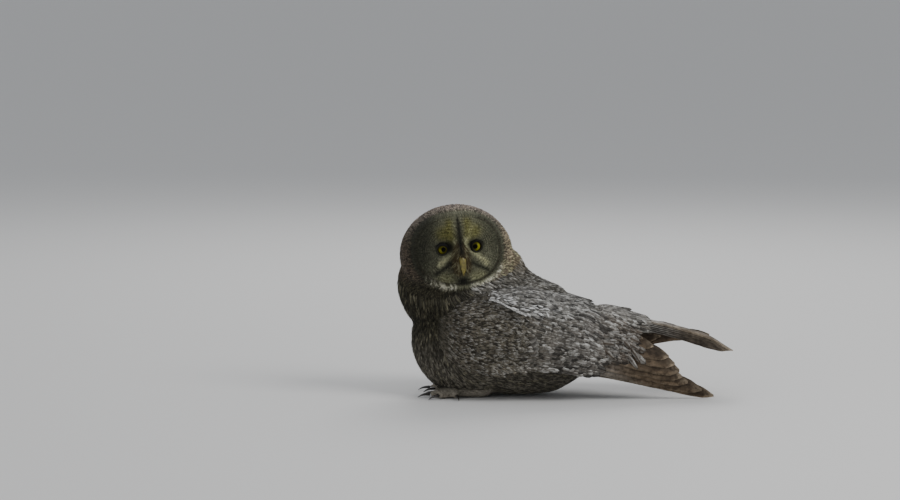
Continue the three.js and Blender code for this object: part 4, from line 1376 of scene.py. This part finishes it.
def makePlumage(name):
    bars, grain, bump = plumage[name]
    material, k, shader = newMaterial(name, {"Roughness": 0.82, "Specular IOR Level": 0.25})
    marks = k.add("ShaderNodeGroup")
    marks.node_tree = featherMarks
    for title, output in (("tint", "Color"), ("vane", "Vector"), ("pattern", "Vector"), ("ring", "Fac")):
        source = k.add("ShaderNodeAttribute", attribute_name=title)
        k.link(source.outputs[output], marks.inputs[title.title()])
    k.link(k.add("ShaderNodeTexCoord").outputs["Object"], marks.inputs["Object"])
    marks.inputs["Bars"].default_value = bars
    marks.inputs["Grain"].default_value = grain
    relief = k.add("ShaderNodeBump", Distance=bump, Strength=0.6)
    k.link(marks.outputs["Height"], relief.inputs["Height"])
    k.link(relief.outputs[0], shader.inputs["Normal"])
    k.link(marks.outputs["Color"], shader.inputs["Base Color"])
    return material


def makeIris():
    material, k, shader = newMaterial("irisGold", {
        "Roughness": 0.25, "Specular IOR Level": 0.0, "Coat Weight": 0.05, "Coat Roughness": 0.03})
    gaze = k.add("ShaderNodeAttribute", attribute_name="gaze").outputs["Fac"]
    spin = k.add("ShaderNodeAttribute", attribute_name="spin").outputs["Vector"]
    streaks = k.add("ShaderNodeTexNoise", Scale=14.0, Detail=3.0)
    k.link(spin, streaks.inputs["Vector"])
    gold = k.mix(k.step(streaks.outputs[0], 0.35, 0.65), (0.12, 0.115, 0.01, 1), (0.3, 0.285, 0.024, 1))
    # painted shade: the gold darkens where the spin attribute's second value, the painted lid shadow, is high
    up = k.add("ShaderNodeSeparateXYZ")
    k.link(spin, up.inputs[0])
    gold = k.mix(k.times(k.step(up.outputs[1], -0.5, 0.6), 0.88), gold, (0.03, 0.026, 0.004, 1))
    gold = k.mix(k.step(gaze, 37.0, 43.0), gold, (0.02, 0.014, 0.004, 1))
    colour = k.mix(k.without(k.step(gaze, 17.5, 19.5)), gold, (0.003, 0.003, 0.003, 1))
    k.link(colour, shader.inputs["Base Color"])
    return material


def makeHorn(name, low, high, rough):
    material, k, shader = newMaterial(name, {"Coat Weight": 0.25, "Coat Roughness": 0.3})
    noise = k.add("ShaderNodeTexNoise", Scale=160.0, Detail=4.0)
    k.link(k.add("ShaderNodeTexCoord").outputs["Object"], noise.inputs["Vector"])
    colour = k.mix(k.step(noise.outputs[0], 0.35, 0.65), (*linear(low), 1), (*linear(high), 1))
    k.link(colour, shader.inputs["Base Color"])
    k.link(k.math("MULTIPLY_ADD", noise.outputs[0], 0.3, rough), shader.inputs["Roughness"])
    relief = k.add("ShaderNodeBump", Strength=0.3, Distance=0.0003)
    k.link(noise.outputs[0], relief.inputs["Height"])
    k.link(relief.outputs[0], shader.inputs["Normal"])
    return material


looks = {name: makePlumage(name) for name in plumage}
iris = makeIris()
hornGold = makeHorn("hornGold", "5a5120", "887c36", 0.28)
hornBlack = makeHorn("hornBlack", "14110f", "2c2622", 0.22)


def finish(piece, material):
    piece.data.materials.clear()
    piece.data.materials.append(material)
    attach(piece, "root")


def markSkin():
    region, q = regionOf(skinPoints)[:, None], toHead(skinPoints)
    tint = np.where(region == 1, crownTint(q), bodyTint(skinPoints))
    tint = np.where(region == 0, faceTint(q), tint)
    plainMarks(skinMesh, np.where(region == 4, hues["foot"], tint) * 0.75, 0.6)


markSkin()
finish(skin, looks["bodyPlumage"])
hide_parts("torso", "neck", "head", "leg_left", "leg_right", "foot_left", "foot_right")
for piece, slot, name in coats:
    finish(piece, looks[coatSize[name][5]])
for word, pieces in wingPieces.items():
    for k, piece in enumerate(pieces):
        finish(piece, looks["wingPlumage" if k else "quillPlumage"])
    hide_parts("wing_" + word.lower())
for k, piece in enumerate(tailPieces):
    finish(piece, looks["wingPlumage" if k else "quillPlumage"])
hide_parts("tail")
for word, ball, cover in zip(("left", "right"), eyes, lids):
    finish(ball, iris)
    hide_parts("eye_" + word)
    finish(cover, looks["facePlumage"])
for piece in bills:
    finish(piece, hornGold)
for piece in claws:
    finish(piece, hornBlack)

# Floor, light and camera


def makeFloor():
    bm = bmesh.new()
    bmesh.ops.create_grid(bm, x_segments=2, y_segments=2, size=60)
    mesh = bpy.data.meshes.new("floor")
    bm.to_mesh(mesh)
    bm.free()
    floor = addPiece("floor", mesh)
    mesh.materials.append(newMaterial("paleFloor", {"Base Color": (0.72, 0.71, 0.69, 1), "Roughness": 0.75})[0])


def aimed(name, data, place, way):
    item = addPiece(name, data)
    item.location = place
    item.rotation_euler = way.to_track_quat("-Z", "Y").to_euler()
    return item


lights = {  # place, size, power
    "keyLight": [(2.1, -1.6, 2.5), 1.6, 60],
    "fillLight": [(-2.4, -1.9, 1.3), 2.0, 9],
    "backLight": [(0.2, 2.3, 2.3), 1.8, 34],
}
lightTarget = Vector((-0.02, 0, 0.15))

makeFloor()
for name, (place, size, power) in lights.items():
    lamp = bpy.data.lights.new(name, "AREA")
    lamp.size, lamp.energy = size, power
    aimed(name, lamp, place, lightTarget - Vector(place))
world = bpy.data.worlds.new("studio")
bpy.context.scene.world = world
world.use_nodes = True
sky = world.node_tree.nodes["Background"].inputs
sky[0].default_value = (0.82, 0.85, 0.9, 1)
sky[1].default_value = 0.55

view = {"lens": 135, "distance": 5.57, "elevation": 6, "target": (-0.1485, 0, 0.2403)}
cameraData = bpy.data.cameras.new("camera")
cameraData.lens = view["lens"]
cameraData.sensor_width = 36
cameraData.clip_end = 50
tilt = math.radians(view["elevation"])
away = Vector((0, -math.cos(tilt), math.sin(tilt)))
bpy.context.scene.camera = aimed("camera", cameraData, Vector(view["target"]) + away * view["distance"], -away)

bpy.context.view_layer.update()
